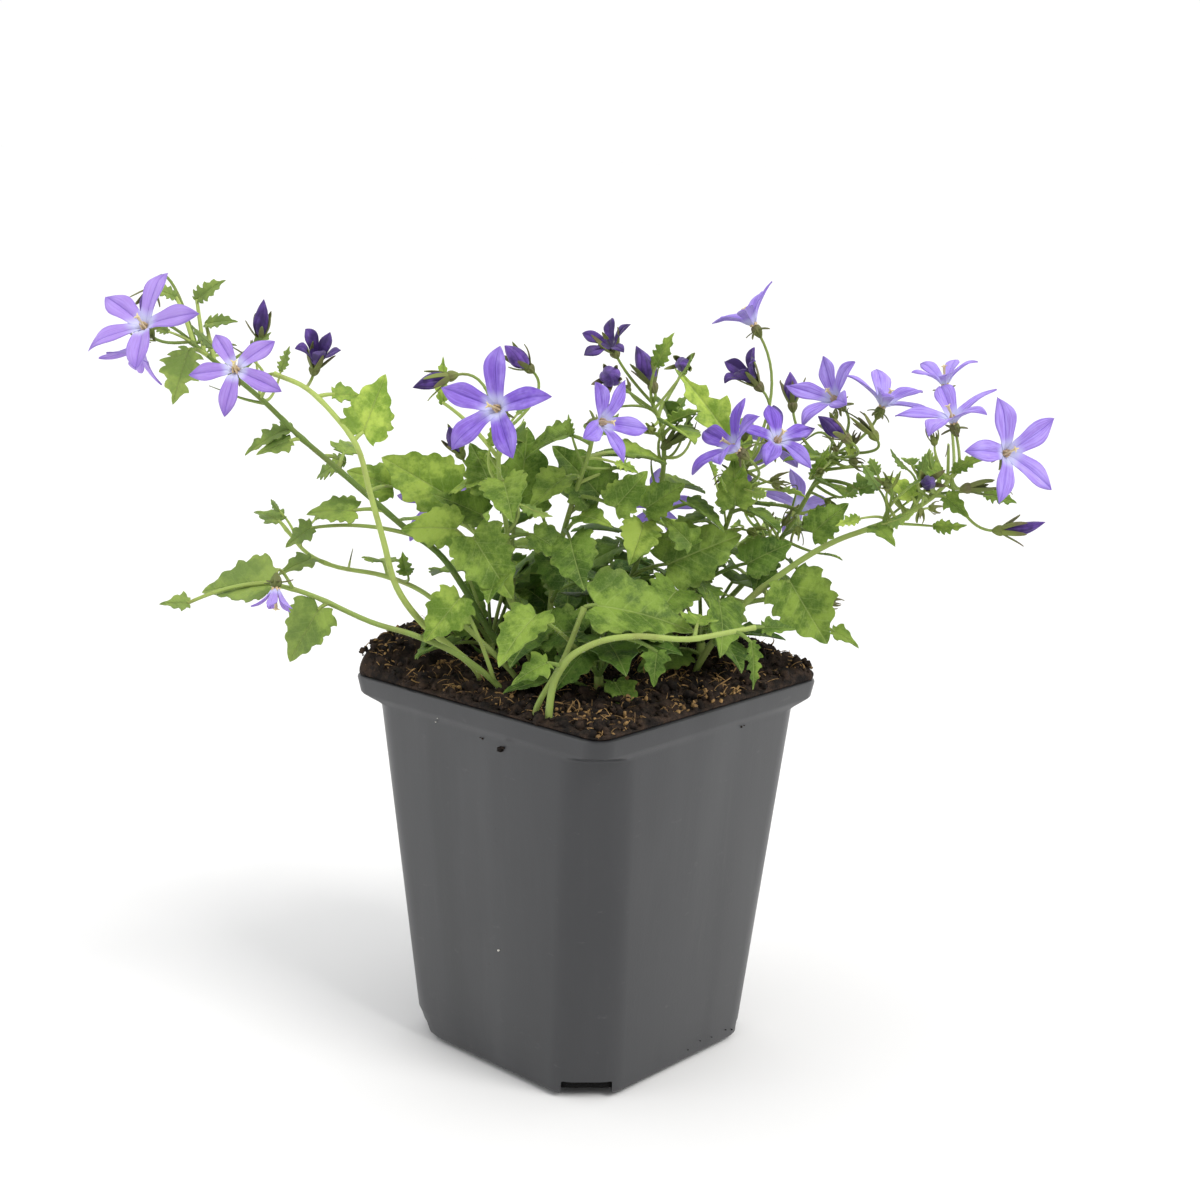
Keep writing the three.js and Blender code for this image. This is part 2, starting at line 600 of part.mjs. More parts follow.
    route: [[25, 7, 99], [27, 8, 109], [40, 12, 122], [52, 14, 137], [60, 14, 152], [65, 12, 161]],
    leaves: [],
    placed: [[0.6, 58, -2, 141, 0, 12, 42, -80, 40], [0.8, 70, 2, 152, 20, 10, 20, -80, 50]],
    spread: { count: 7, from: 0.4, to: 0.97, stalk: [4, 9], rise: [5, 45], length: [9, 14], seed: 4 },
    blooms: [['bloom_right_4', 1, 63, 5, 175, -149, 39, 12.6, 46, 38],
      ['bloom_right_5', 0.97, 77, 15, 173, -30, 67, 13, 37, -41]],
    buds: [['bud_right_2', 0.95, 63, -6, 168, -166, 36, 8.5], ['bud_right_3', 0.9, 53, 20, 174, 120, 77, 8]],
    spent: [[0.98, 72, 6, 168, 165, 50]],
  },
  {
    name: 'stem_right_long', radius: [1.1, 0.6], sides: 4,
    route: [[27, -8, 97], [29, -9, 106], [39, -11, 122], [52, -13, 134], [62, -15, 141], [71, -16, 145],
      [80, -16, 149], [87, -16, 154], [93, -15, 161]],
    leaves: [[0.3, 0, 20, 8, 21, -58, -95, 25], [0.62, -60, 20, 3, 9, -10, -90, 60],
      [0.8, 150, 50, 3, 9, 40, -90, 40], [0.95, 200, 30, 3, 8, 20, -90, 50],
      [0.87, -20, 0, 3, 8, -35, -90, 40]],
    blooms: [['bloom_right_6', 1, 92, -7, 172, -142, 68, 13.5, 35, -25],
      ['bloom_right_7', 0.97, 92, 9, 180, -152, 74, 9, 45, 27],
      ['bloom_right_8', 1, 103, -22, 166, -63, 16, 13.8, 25, 11]],
    buds: [['bud_right_4', 0.88, 83, -28, 159, -91, 10, 7],
      ['bud_right_5', 0.95, 106, -19, 146, -26, 8, 11]],
    spent: [[0.96, 97, -20, 157, -10, 10]],
  },
  {
    name: 'stem_right_low', radius: [1, 0.6], sides: 4,
    route: [[38, 9, 99], [37, 8, 109], [36, 5, 116], [40, 2, 120], [48, 1, 122], [56, 0, 120],
      [63, -1, 115]],
    leaves: [[1, -10, -20, 2, 8, -20, -90, 60], [0.75, 60, 30, 5, 13, 0, 30, 60],
      [0.5, -130, 5, 2, 7, -30, -90, 50]],
    blooms: [],
    buds: [],
  },
  {
    name: 'stem_back_left', radius: [1, 0.6], sides: 4,
    route: [[-10, 13, 98], [-12, 15, 108], [-20, 26, 120], [-29, 35, 128], [-36, 43, 132], [-41, 49, 134]],
    leaves: [],
    spread: { count: 5, from: 0.35, to: 0.97, stalk: [4, 9], rise: [5, 45], length: [11, 16], seed: 4 },
    blooms: [['bloom_back_left', 1, -46, 59, 135, 120, 20, 12.5, 12, 0]],
    buds: [['bud_back_left', 0.9, -34, 53, 141, 100, 50, 9]],
  },
  {
    name: 'stem_back', radius: [1, 0.6], sides: 4,
    route: [[9, 14, 98], [10, 16, 108], [13, 29, 122], [15, 41, 129], [17, 52, 133]],
    leaves: [],
    spread: { count: 5, from: 0.4, to: 0.97, stalk: [4, 9], rise: [5, 45], length: [11, 16], seed: 4 },
    blooms: [['bloom_back', 1, 19, 63, 135, 85, 18, 12.5, 10, 0]],
    buds: [],
  },
  {
    name: 'stem_back_right', radius: [1, 0.6], sides: 4,
    route: [[20, 17, 98], [22, 19, 108], [32, 30, 121], [42, 40, 129], [52, 49, 134]],
    leaves: [],
    spread: { count: 5, from: 0.4, to: 0.97, stalk: [4, 9], rise: [5, 45], length: [11, 15], seed: 10 },
    blooms: [['bloom_back_right', 1, 60, 57, 137, 50, 22, 12.5, 14, 0]],
    buds: [['bud_back_right', 0.9, 44, 52, 142, 80, 55, 9]],
  },
  {
    name: 'tuft_left', radius: [1.6, 1.3], sides: 6,
    route: [[-25, -3, 98], [-26, -3, 109]],
    leaves: [],
    spread: { count: 4, from: 0.95, to: 0.98, stalk: [10, 26], rise: [42, 80], length: [14, 18], seed: 2 },
    blooms: [],
    buds: [],
  },
  {
    name: 'tuft_front', radius: [1.6, 1.3], sides: 6,
    route: [[3, -26, 97], [3, -26, 107]],
    leaves: [],
    spread: { count: 7, from: 0.95, to: 0.98, stalk: [10, 34], rise: [40, 78], length: [14, 19], seed: 266 },
    blooms: [],
    buds: [],
  },
  {
    name: 'tuft_right', radius: [1.6, 1.3], sides: 6,
    route: [[30, -1, 98], [30, 0, 110]],
    leaves: [],
    spread: { count: 5, from: 0.95, to: 0.98, stalk: [12, 36], rise: [42, 78], length: [14, 19], seed: 35 },
    blooms: [],
    buds: [],
  },
  {
    name: 'tuft_back', radius: [1.6, 1.3], sides: 6,
    route: [[-6, 23, 98], [-6, 23, 110]],
    leaves: [],
    spread: { count: 5, from: 0.95, to: 0.98, stalk: [12, 36], rise: [40, 76], length: [14, 19], seed: 42 },
    blooms: [],
    buds: [],
  },
];

const routeCurve = (route) => new THREE.CatmullRomCurve3(
  route.map((point) => new THREE.Vector3(...point)), false, 'catmullrom', 0.5);

function spreadLeaves(curve, spread) {
  const random = stream(spread.seed);
  const between = ([low, high]) => low + (high - low) * random();
  return Array.from({ length: spread.count }, (_, i) => {
    const place = spread.from + ((spread.to - spread.from) * (i + 0.5)) / spread.count;
    const azimuth = GOLDEN_ANGLE * i + SPREAD_WANDER * random() + SPREAD_START * spread.seed;
    const rise = between(spread.rise);
    const stalk = between(spread.stalk);
    const length = between(spread.length);
    const pitch = between(SPREAD_PITCH);
    const away = curve.getPoint(place).sub(PLANT_CENTRE).addScaledVector(direction(azimuth, rise), stalk);
    const faceAzimuth = THREE.MathUtils.radToDeg(Math.atan2(away.y, away.x));
    return [place, azimuth, rise, stalk, length, pitch, faceAzimuth, between(SPREAD_FACE)];
  });
}

function stemBody(stem) {
  const curve = routeCurve(stem.route);
  const steps = stem.route.length - 1;
  const points = curve.getPoints(steps);
  const [thick, thin] = stem.radius;
  const radii = points.map((_, i) => thick + ((thin - thick) * i) / steps);
  const solids = [tube(points, radii, stem.sides)];
  const rows = [...stem.leaves, ...(stem.spread ? spreadLeaves(curve, stem.spread) : [])];
  for (const [place, azimuth, rise, stalk, ...blade] of rows) {
    const start = curve.getPoint(place);
    const base = start.clone().addScaledVector(direction(azimuth, rise), stalk);
    solids.push(leaf(start, base, [azimuth, ...blade]));
  }
  for (const [place, x, y, z, ...blade] of stem.placed ?? []) {
    solids.push(leaf(curve.getPoint(place), new THREE.Vector3(x, y, z), blade));
  }
  for (const [, place, x, y, z, azimuth, elevation, , open, spin] of stem.blooms) {
    const centre = new THREE.Vector3(x, y, z);
    const frame = axes(azimuth, elevation, spin);
    solids.push(pedicel(curve.getPoint(place), centre, frame));
    solids.push(calyx(centre, frame, open - SEPAL_BACK, CUP_CLEAR));
  }
  const closed = [...stem.buds.map(([, ...row]) => row), ...(stem.spent ?? [])];
  for (const [place, x, y, z, azimuth, elevation] of closed) {
    const centre = new THREE.Vector3(x, y, z);
    const frame = axes(azimuth, elevation, 0);
    solids.push(pedicel(curve.getPoint(place), centre, frame));
    solids.push(calyx(centre, frame, BUD_SEPAL_RISE, BUD_CUP_CLEAR));
  }
  return fuse(solids);
}

// The plain hole that a stem stands in, a little wider and deeper than the stem.
function stemHole(stem) {
  const curve = routeCurve(stem.route);
  const reach = 2 / (stem.route.length - 1);
  const points = [0, 1, 2].map((i) => curve.getPoint(Math.min((reach * i) / 2, 1)));
  const down = points[0].clone().sub(points[1]).setLength(HOLE_CLEARANCE);
  points.unshift(points[0].clone().add(down));
  const radii = points.map(() => stem.radius[0] * HOLE_SHARE + HOLE_CLEARANCE);
  return tube(points, radii, 5);
}

const plant = new THREE.Group();
for (const stem of STEMS) {
  plant.add(meshOf(stem.name, stemBody(stem), green));
  for (const [name, , x, y, z, azimuth, elevation, length, open, spin] of stem.blooms) {
    const body = corolla(new THREE.Vector3(x, y, z), axes(azimuth, elevation, spin), length, open);
    plant.add(meshOf(name, body, lilac));
  }
  for (const [name, , x, y, z, azimuth, elevation, length] of stem.buds) {
    plant.add(meshOf(name, bud(new THREE.Vector3(x, y, z), axes(azimuth, elevation, 0), length), violet));
  }
}
plant.rotation.z = radians(PLANT_TURN);

const holes = STEMS.map((stem) => {
  const turn = new THREE.Matrix4().makeRotationZ(radians(PLANT_TURN));
  return stemHole(stem).transform(turn.elements);
});

const potted = new THREE.Group();
potted.add(meshOf('pot', potBody(), black));
potted.add(meshOf('soil', soilBody(holes), peat));
potted.add(plant);

export default potted;
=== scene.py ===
import math

import bmesh
import bpy
import numpy as np
from mathutils import Matrix, Vector, noise


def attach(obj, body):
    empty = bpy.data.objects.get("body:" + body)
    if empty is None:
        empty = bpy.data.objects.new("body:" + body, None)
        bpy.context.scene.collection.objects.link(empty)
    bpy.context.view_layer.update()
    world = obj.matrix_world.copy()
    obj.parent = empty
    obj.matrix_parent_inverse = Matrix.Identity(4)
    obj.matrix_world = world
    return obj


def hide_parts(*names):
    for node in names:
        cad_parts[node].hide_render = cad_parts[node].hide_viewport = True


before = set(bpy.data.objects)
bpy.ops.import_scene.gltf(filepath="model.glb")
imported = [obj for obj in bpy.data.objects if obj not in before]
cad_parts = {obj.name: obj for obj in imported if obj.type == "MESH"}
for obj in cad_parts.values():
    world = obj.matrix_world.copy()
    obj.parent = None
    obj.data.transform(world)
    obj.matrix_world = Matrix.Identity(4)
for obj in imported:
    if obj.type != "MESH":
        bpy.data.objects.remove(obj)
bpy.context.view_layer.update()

# Lengths are millimetres and angles degrees, unless a name or comment says otherwise. Plant places are
# given as a viewer in front of the plant sees them: x to the viewer's right, y away, z up. The pot stands
# with one corner towards the viewer, so the plant's frame is turned against the pot's.
MM = 0.001
PLANT_TURN = math.radians(41.6)
TURN_COS, TURN_SIN = math.cos(PLANT_TURN), math.sin(PLANT_TURN)
WELD = 0.002

# Pot
POT_HEIGHT = 100
RIM_WIDTH = 90
RIM_BAND = 4.4
RIM_TAPER = 1.4
RIM_RADIUS = 4
RIM_SOFTNESS = 1.6
LIP_WIDTH = 1.7
LEDGE_START = 92.6
BODY_TOP_WIDTH = 87.2
BODY_BASE_WIDTH = 71.2
BODY_TOP = 94.4
CORNER_CUT = 9.7
CORNER_STEPS = 7
INNER_CUT = CORNER_CUT - 0.5
CORNER_SOFTNESS = 1.0
EDGE_SOFTNESS = 4.0
FOOT_RADIUS = 0.8
WALL = 1
FLOOR = 1.2
NOTCH_WIDTH, NOTCH_HEIGHT, NOTCH_DEPTH, NOTCH_SOFTNESS = 13.2, 3.8, 8, 0.5
DRAIN_RADIUS, DRAIN_REACH, DRAIN_SIDES = 3.5, 22, 40
POT_CREASE = 38
# The corner to the viewer's left runs in slightly above the floor.
WORN_CORNER = math.radians(225)
WORN_HEIGHT = 7.5
WORN_DEPTH = 1.8
WORN_START, WORN_SPREAD = 0.82, 0.14

# Soil. A heap is [x, y, height, width].
GAP = 0.3
RIM_TOP = POT_HEIGHT + GAP
SOIL_BASE = 1.5
SOIL_STEP = 0.6
SOIL_LIFT = 1
SOIL_DOME = 3
SOIL_ROLL = 12
SOIL_WIDTH = 88.4
SOIL_SIDES = 288
SOIL_ROWS = 61
SOIL_HEAPS = [
    [-58, 3, 7, 9], [-46, 14, 8, 12], [-20, 24, 4, 14], [38, 20, 7, 13], [56, 2, 2.5, 8],
    [-12, -46, -1.5, 12]]
SOIL_RIPPLE = 0.7
SOIL_CREASE = 75
CRUMBS, CRUMB_REACH = 3000, 43.6
CRUMB_SIZES, CRUMB_ODDS = [0.45, 0.7, 1.1, 1.7], [0.4, 0.34, 0.2, 0.06]
FIBRES, FIBRE_REACH, FIBRE_LIMIT = 2600, 43.2, 43.8
# Crumbs and flecks stuck to the pot's walls: x, y, z in the pot's own frame, size, tone
STUCK = [
    (10.5, -43.5, 91.0, 0.75, 0), (11.4, -43.6, 91.6, 0.45, 0), (9.6, -43.4, 90.4, 0.4, 0.1),
    (4.2, -43.6, 92.4, 0.28, 0.1), (3.4, -43.6, 92.5, 0.2, 0.1), (43.6, 11.4, 92.9, 0.3, 0.2),
    (43.6, 12.6, 93.0, 0.25, 0.2), (6.2, -38.7, 34.8, 0.38, 2), (-11.9, -43.8, 94.4, 0.2, 2),
    (-12.6, -43.8, 93.2, 0.16, 2), (36.0, 9, 3.6, 0.22, 0.9), (36.0, 14, 3.0, 0.2, 0.9),
    (36.1, 20, 3.2, 0.24, 0.8), (35.9, 23, 2.2, 0.2, 0.9), (35.9, 4, 2.6, 0.18, 0.8)]

# Stems and leaves. Each half of a blade has pointed lobes, given by their tips in shares of the leaf's
# length.
PLANT_CENTRE = np.array([4.0, -4.0, 0.0])
STALK_RADIUS = 0.6
STALK_BEND = 0.12
PEDICEL_RADIUS = 0.38
PEDICEL_SUNK = 0.6
PEDICEL_BEND = 0.45
STEM_SLIM = 0.9
STEM_STEP = 2.2
STEM_SIDES = 10
NODE_SWELL, NODE_LENGTH = 0.16, 1.1
LARGE_LEAF = 11.5
LEAF_WIDTH = 0.9
LEAF_FOLD = 0.22
LEAF_DROOP = 0.2
LEAF_UV_START, LEAF_UV_SPAN = 0.2, 1.25
LARGE_LOBES = [(-0.12, 0.25), (0.08, 0.43), (0.27, 0.43), (0.47, 0.38), (0.72, 0.22)]
SMALL_LOBES = [(-0.06, 0.25), (0.22, 0.42), (0.54, 0.26)]
NARROW_LOBES = [(0.02, 0.22), (0.17, 0.38), (0.34, 0.46), (0.54, 0.4), (0.76, 0.25)]
LARGE_NOTCH, SMALL_NOTCH, NARROW_NOTCH = 0.17, 0.34, 0.52
BLADE_HALF = 0.16
VEIN_LEAN = 0.8
VEIN_STEP = 0.17
HAIRS_PER_MM = 2.2
STALK_HAIRS = 0.6 * HAIRS_PER_MM
HAIR_RADIUS = 0.035
SHOOT_RADIUS = 0.42
GOLDEN_ANGLE = 137.5
SPREAD_PITCH = (-35, 10)
SPREAD_FACE = (45, 80)
SPREAD_WANDER = 40
SPREAD_START = 23

# Flowers. A cup's profile is (place along the axis, radius), a petal's (share of its length, half width)
# and a bud's (share of its length, radius). Sepals are [reach away from the axis, height of the tip along
# it, half width, outward curl], each a range.
FIFTH = 72
CUP_PROFILE = [(-4.5, 0.42), (-4.0, 0.72), (-3.3, 1.08), (-2.6, 1.3), (-1.9, 1.32), (-1.2, 1.1), (-0.9, 0.6)]
CUP_SIDES = 20
CUP_RIB = 0.09
CUP_DEPTH = 4.4
CUP_CLEAR = 1.7
BUD_CUP_CLEAR = 2.6
SEPAL_STEPS = 9
SEPAL_FOLD, SEPAL_HALF = 0.25, 0.11
OPEN_SEPALS = [(2.6, 3.8), (-4.2, -1.6), (0.4, 0.5), (0, 0.6)]
BUD_SEPALS = [(2.3, 4.2), (2.2, 5.4), (0.7, 0.95), (-0.6, 1.4)]
SPENT_SEPALS = [(1.2, 3.6), (2.8, 5.6), (0.65, 0.9), (-1.0, 1.2)]
PETAL_OUTLINE = np.array([
    (0, 0), (0.05, 0.085), (0.1, 0.125), (0.17, 0.145), (0.25, 0.155), (0.36, 0.18), (0.48, 0.208),
    (0.6, 0.215), (0.72, 0.188), (0.83, 0.13), (0.92, 0.07), (0.97, 0.03), (1, 0)])
PETAL_ROWS = 25
PETAL_SHARES = np.array([-1, -0.82, -0.58, -0.3, -0.1, 0, 0.1, 0.3, 0.58, 0.82, 1])
PETAL_HALF = 0.12
PETAL_ARCH = 30
THROAT_RADIUS = 1.9
BUD_PROFILE = np.array([
    (0, 0.1), (0.06, 0.155), (0.15, 0.205), (0.28, 0.245), (0.42, 0.25), (0.56, 0.225), (0.7, 0.175),
    (0.82, 0.115), (0.92, 0.056), (0.975, 0.024), (1, 0.006)])
BUD_SIDES, BUD_ROWS = 30, 22
BUD_TWIST, BUD_TIP_TWIST = 40, 25

# Material slots of the green pieces and of the flowers
LEAF, STEM, CALYX, HAIR = 0, 1, 2, 3
PETAL, STYLE, STAMEN = 0, 1, 2

# Tones run from 0, dark, to 1, light. These stand out from the rest: stems, one young leaf by its stem and
# number, and the deepest violet blooms.
STEM_TONES = {
    "stem_left_arch": 0.9, "stem_left_long": 0.08, "stem_front_runner": 0.7, "stem_front_leaf": 0.55,
    "stem_left_mid": 0.6, "stem_right_long": 0.6}
LEAF_TONES = {("stem_right_centre", 0): 1.0}
BLOOM_TONES = {"bloom_right_1": 0.05, "bloom_right_2": 0.15, "bloom_centre": 0.4, "bloom_right_3": 0.3}
# Buds that begin to open: their petals' opening above the flat
OPENING_BUDS = {"bud_centre_5": 42, "bud_left_3": 74, "bud_right_1": 72}
# Buds that aren't plump and straight: share of the usual thickness, bend of the tip in lengths
BUD_SHAPES = {
    "bud_right_5": (0.6, 0.2), "bud_left_2": (0.75, 0.1), "bud_centre_1": (0.85, 0.08),
    "bud_centre_4": (1.4, 0.0)}
# Side shoots: how many, and the part of the stem that bears them
SHOOTS = {
    "stem_right_upper": (26, 0.5, 1), "stem_right_long": (24, 0.62, 1), "stem_right_centre": (16, 0.6, 1),
    "stem_centre_right": (12, 0.6, 1), "stem_centre": (6, 0.6, 0.95), "stem_centre_left": (8, 0.6, 1),
    "stem_left_long": (9, 0.8, 1), "stem_left_mid": (4, 0.5, 0.95), "stem_right_low": (5, 0.5, 1)}

# Stems. Each route starts below the soil. A leaf is [place along the route, azimuth, rise, stalk, length,
# pitch, azimuth that its face looks to, elevation that it looks to]. A placed leaf is [place along the
# route, x, y, z of its blade's base, azimuth, length, pitch, azimuth and elevation that its face looks to,
# width in lengths where it is a narrow one]. A bloom is [name, place along the route, x, y, z, azimuth,
# elevation, petal length, opening, spin], a bud the same up to its length. A spent flower leaves its cup:
# [place along the route, x, y, z, azimuth, elevation]. A spread is (count, first place, last place, stalks,
# rises, lengths, seed); its leaves stand round the route by the golden angle.
STEMS = [
    {"name": "stem_left_arch", "radius": (1.1, 0.65),
     "route": [[-27, -17, 97], [-28, -19, 105], [-34, -23, 112], [-42, -27, 120], [-48, -31, 130],
               [-51, -33, 142], [-54, -35, 154], [-57, -35, 165], [-63, -34, 173], [-70, -32, 179],
               [-78, -30, 182]],
     "leaves": [[0.72, 10, 40, 3, 15, 70, -90, 10], [0.86, 10, 10, 4, 8, 0, -90, 50]],
     "blooms": [["bloom_left_2", 1, -87, -32, 183, -91, 25, 10.8, 6, 27]],
     "buds": [["bud_left_3", 0.9, -68, -28, 185, -64, 54, 8.5]]},
    {"name": "stem_left_long", "radius": (1.1, 0.65),
     "route": [[-17, -10, 98], [-19, -11, 106], [-26, -12, 115], [-33, -13, 127], [-39, -13, 135],
               [-48, -14, 142], [-57, -15, 150], [-66, -16, 158], [-74, -17, 165], [-83, -18, 174],
               [-93, -18, 182], [-101, -17, 188]],
     "leaves": [[0.72, 200, -10, 3, 9, -15, -90, 50], [0.5, 185, 0, 8, 12, 4, -90, 55],
                [0.42, 182, 4, 27, 9, -35, -90, 40], [0.62, 80, 35, 6, 11, 15, -60, 60]],
     "placed": [[0.96, -100, -14, 198, -15, 9, 41, -90, 35, 0.6],
                [0.93, -98, -13, 192, -26, 9, 16, -80, 50, 0.6],
                [0.99, -106, -8, 198, -150, 8.5, 29, -100, 45, 0.5],
                [0.95, -100, -24, 187, -117, 14, -62, -95, 15, 0.8],
                [0.78, -76, -16, 167, -169, 13.5, -20, -90, 60, 0.5]],
     "blooms": [["bloom_left_1", 1, -111, -23, 192, -115, 40, 14.5, 25, -10],
                ["bloom_left_behind", 0.97, -115, -12, 186, -120, -60, 10, 50, 0]],
     "buds": [["bud_left_1", 0.98, -114, -4, 198, -106, -48, 7.5],
              ["bud_left_2", 0.88, -84, -14, 191, -78, 58, 10]]},
    {"name": "stem_left_low", "radius": (1, 0.6),
     "route": [[-21, -26, 96], [-22, -26, 103], [-32, -29, 112], [-43, -33, 118], [-54, -36, 122],
               [-68, -39, 129], [-78, -40, 132]],
     "leaves": [[0.97, 180, 5, 2, 17, -2, -90, 55], [0.78, 205, -25, 3, 15, -58, -100, 10],
                [1, 190, -14, 20, 7, 5, -90, 50]],
     "placed": [[0.2, -32, -33, 128, 205, 14, -48, -95, 25]],
     "blooms": [["bloom_left_small", 0.9, -75, -49, 132, -87, -64, 5.8, 60, 13]]},
    {"name": "stem_left_mid", "radius": (0.9, 0.55),
     "route": [[-17, -19, 97], [-18, -20, 104], [-28, -19, 114], [-37, -16, 121], [-45, -10, 125],
               [-55, -4, 127], [-67, 0, 128], [-75, 2, 131], [-81, 4, 137]],
     "leaves": [[1, 150, 40, 3, 9, 20, -90, 60], [0.8, 220, 20, 4, 10, -10, -90, 60],
                [0.6, 110, 30, 6, 12, 0, 100, 60]]},
    {"name": "stem_front_runner", "radius": (1.1, 0.7),
     "route": [[-9, -46, 95], [-9, -46, 102], [-8, -46, 110], [-5, -47, 116], [-1, -48, 119.5],
               [5, -48, 122], [13, -48, 123], [24, -46, 122], [33, -43, 123], [41, -40, 124]],
     "leaves": [[1, 0, 0, 2, 8, 5, -90, 50], [0.3, 200, 20, 4, 10, -20, -110, 40],
                [0.8, 80, 30, 5, 11, 10, -90, 60]],
     "placed": [[0.6, 17, -46, 119, -128, 9.2, -80, -90, 5],
                [0.93, 40, -43, 121, -34, 12, -78, -60, 5, 0.4]]},
    {"name": "stem_front_leaf", "radius": (0.9, 0.7),
     "route": [[-13, -43, 96], [-12, -42, 103], [-6, -39, 114], [-1, -38, 127.5]],
     "leaves": [[1, 2, 12, 3, 25, -6, -90, 58]]},
    {"name": "stem_centre_left", "radius": (1, 0.6),
     "route": [[-13, -15, 97], [-14, -16, 106], [-18, -19, 117], [-20, -22, 129], [-21, -25, 144],
               [-23, -27, 158], [-23, -29, 168]],
     "placed": [[0.45, -37, -7, 149, 180, 20, 30, -100, 35], [0.5, -28, -16, 146, 180, 13, 25, -80, 40],
                [0.45, -34, -21, 143, 180, 14, 5, -90, 30], [0.4, -29, -31, 143, -25, 18, -52, -95, 25],
                [0.7, -25, -22, 154, 150, 13, 60, -90, 10], [0.55, -19, -13, 148, 20, 20, 78, -70, 5]],
     "spread": (6, 0.42, 0.95, (4, 10), (5, 45), (12, 16), 19),
     "blooms": [["bloom_centre_left", 1, -23, -39, 176, -120, 24, 14.3, 28, 5]],
     "buds": [["bud_centre_1", 0.9, -38, -22, 181, -163, -13, 9],
              ["bud_centre_2", 0.8, -34, -20, 164, -120, 54, 8],
              ["bud_centre_3", 1, -18, -17, 185, -137, 36, 9]]},
    {"name": "stem_centre", "radius": (1, 0.6),
     "route": [[-8, -8, 98], [-9, -9, 107], [-10, -12, 121], [-8, -15, 137], [-4, -18, 153], [-1, -22, 163],
               [0, -26, 169]],
     "placed": [[0.6, 2, -17, 152, 180, 17, 48, -85, 20], [0.35, -6, -20, 131, 175, 13, 50, -90, 15],
                [0.65, 6, -23, 150, 0, 12, 50, -85, 30]],
     "spread": (6, 0.4, 0.95, (4, 10), (5, 45), (11, 15), 7),
     "blooms": [["bloom_centre", 1, 2, -36, 173, -41, 11, 11.1, 38, 32]]},
    {"name": "stem_centre_right", "radius": (1, 0.6),
     "route": [[4, -7, 98], [4, -6, 107], [9, -4, 122], [14, -3, 138], [18, -3, 153], [18, -3, 166],
               [15, -4, 174]],
     "placed": [[0.4, 20, -10, 133, 5, 21, 25, -85, 25], [0.6, 14, -12, 148, 10, 12, 35, -90, 30],
                [0.5, 26, -14, 139, 160, 11, 45, -80, 20]],
     "spread": (6, 0.4, 0.97, (4, 9), (5, 45), (10, 15), 4),
     "buds": [["bud_centre_4", 0.95, 4, -18, 182, -92, 10, 7.5],
              ["bud_centre_5", 1, 4, -9, 189, -123, 48, 8], ["bud_centre_6", 1, 14, -6, 181, 151, 66, 10],
              ["bud_centre_7", 0.93, 23, 8, 183, -98, 6, 7.5]],
     "spent": [[0.8, 21, -3, 165, 10, 40]]},
    {"name": "stem_right_centre", "radius": (1, 0.6),
     "route": [[13, 0, 98], [15, 0, 108], [26, 1, 121], [34, 2, 137], [38, 1, 150], [40, -1, 158]],
     "placed": [[0.9, 39, -4, 160, -172, 29, 57, -70, 15, 0.42], [0.75, 37, -9, 149, 100, 12, 80, -90, 5],
                [0.45, 41, -6, 133, 5, 13, 30, -90, 30]],
     "spread": (5, 0.4, 0.85, (4, 9), (5, 45), (10, 15), 11),
     "blooms": [["bloom_right_1", 0.85, 36, -19, 165, -162, 37, 12.8, 40, 19],
                ["bloom_right_2", 1, 47, -10, 166, -69, 48, 11, 21, -1],
                ["bloom_right_3", 0.95, 49, 20, 161, 80, 25, 11, 30, 0],
                ["bloom_right_high", 1, 41, 12, 194, 175, 58, 11.1, 43, -14]],
     "buds": [["bud_right_1", 0.97, 41, 4, 180, -164, 45, 9]]},
    {"name": "stem_right_upper", "radius": (1, 0.6),
     "route": [[25, 7, 99], [27, 8, 109], [40, 12, 122], [52, 14, 137], [60, 14, 152], [65, 12, 161]],
     "placed": [[0.6, 58, -2, 141, 0, 12, 42, -80, 40], [0.8, 70, 2, 152, 20, 10, 20, -80, 50]],
     "spread": (7, 0.4, 0.97, (4, 9), (5, 45), (9, 14), 4),
     "blooms": [["bloom_right_4", 1, 63, 5, 175, -149, 39, 12.6, 46, 38],
                ["bloom_right_5", 0.97, 77, 15, 173, -30, 67, 13, 37, -41]],
     "buds": [["bud_right_2", 0.95, 63, -6, 168, -166, 36, 8.5],
              ["bud_right_3", 0.9, 53, 20, 174, 120, 77, 8]],
     "spent": [[0.98, 72, 6, 168, 165, 50]]},
    {"name": "stem_right_long", "radius": (1.1, 0.6),
     "route": [[27, -8, 97], [29, -9, 106], [39, -11, 122], [52, -13, 134], [62, -15, 141], [71, -16, 145],
               [80, -16, 149], [87, -16, 154], [93, -15, 161]],
     "leaves": [[0.3, 0, 20, 8, 21, -58, -95, 25], [0.62, -60, 20, 3, 9, -10, -90, 60],
                [0.8, 150, 50, 3, 9, 40, -90, 40], [0.95, 200, 30, 3, 8, 20, -90, 50],
                [0.87, -20, 0, 3, 8, -35, -90, 40]],
     "blooms": [["bloom_right_6", 1, 92, -7, 172, -142, 68, 13.5, 35, -25],
                ["bloom_right_7", 0.97, 92, 9, 180, -152, 74, 9, 45, 27],
                ["bloom_right_8", 1, 103, -22, 166, -63, 16, 13.8, 25, 11]],
     "buds": [["bud_right_4", 0.88, 83, -28, 159, -91, 10, 7],
              ["bud_right_5", 0.95, 106, -19, 146, -26, 8, 11]],
     "spent": [[0.96, 97, -20, 157, -10, 10]]},
    {"name": "stem_right_low", "radius": (1, 0.6),
     "route": [[38, 9, 99], [37, 8, 109], [36, 5, 116], [40, 2, 120], [48, 1, 122], [56, 0, 120],
               [63, -1, 115]],
     "leaves": [[1, -10, -20, 2, 8, -20, -90, 60], [0.75, 60, 30, 5, 13, 0, 30, 60],
                [0.5, -130, 5, 2, 7, -30, -90, 50]]},
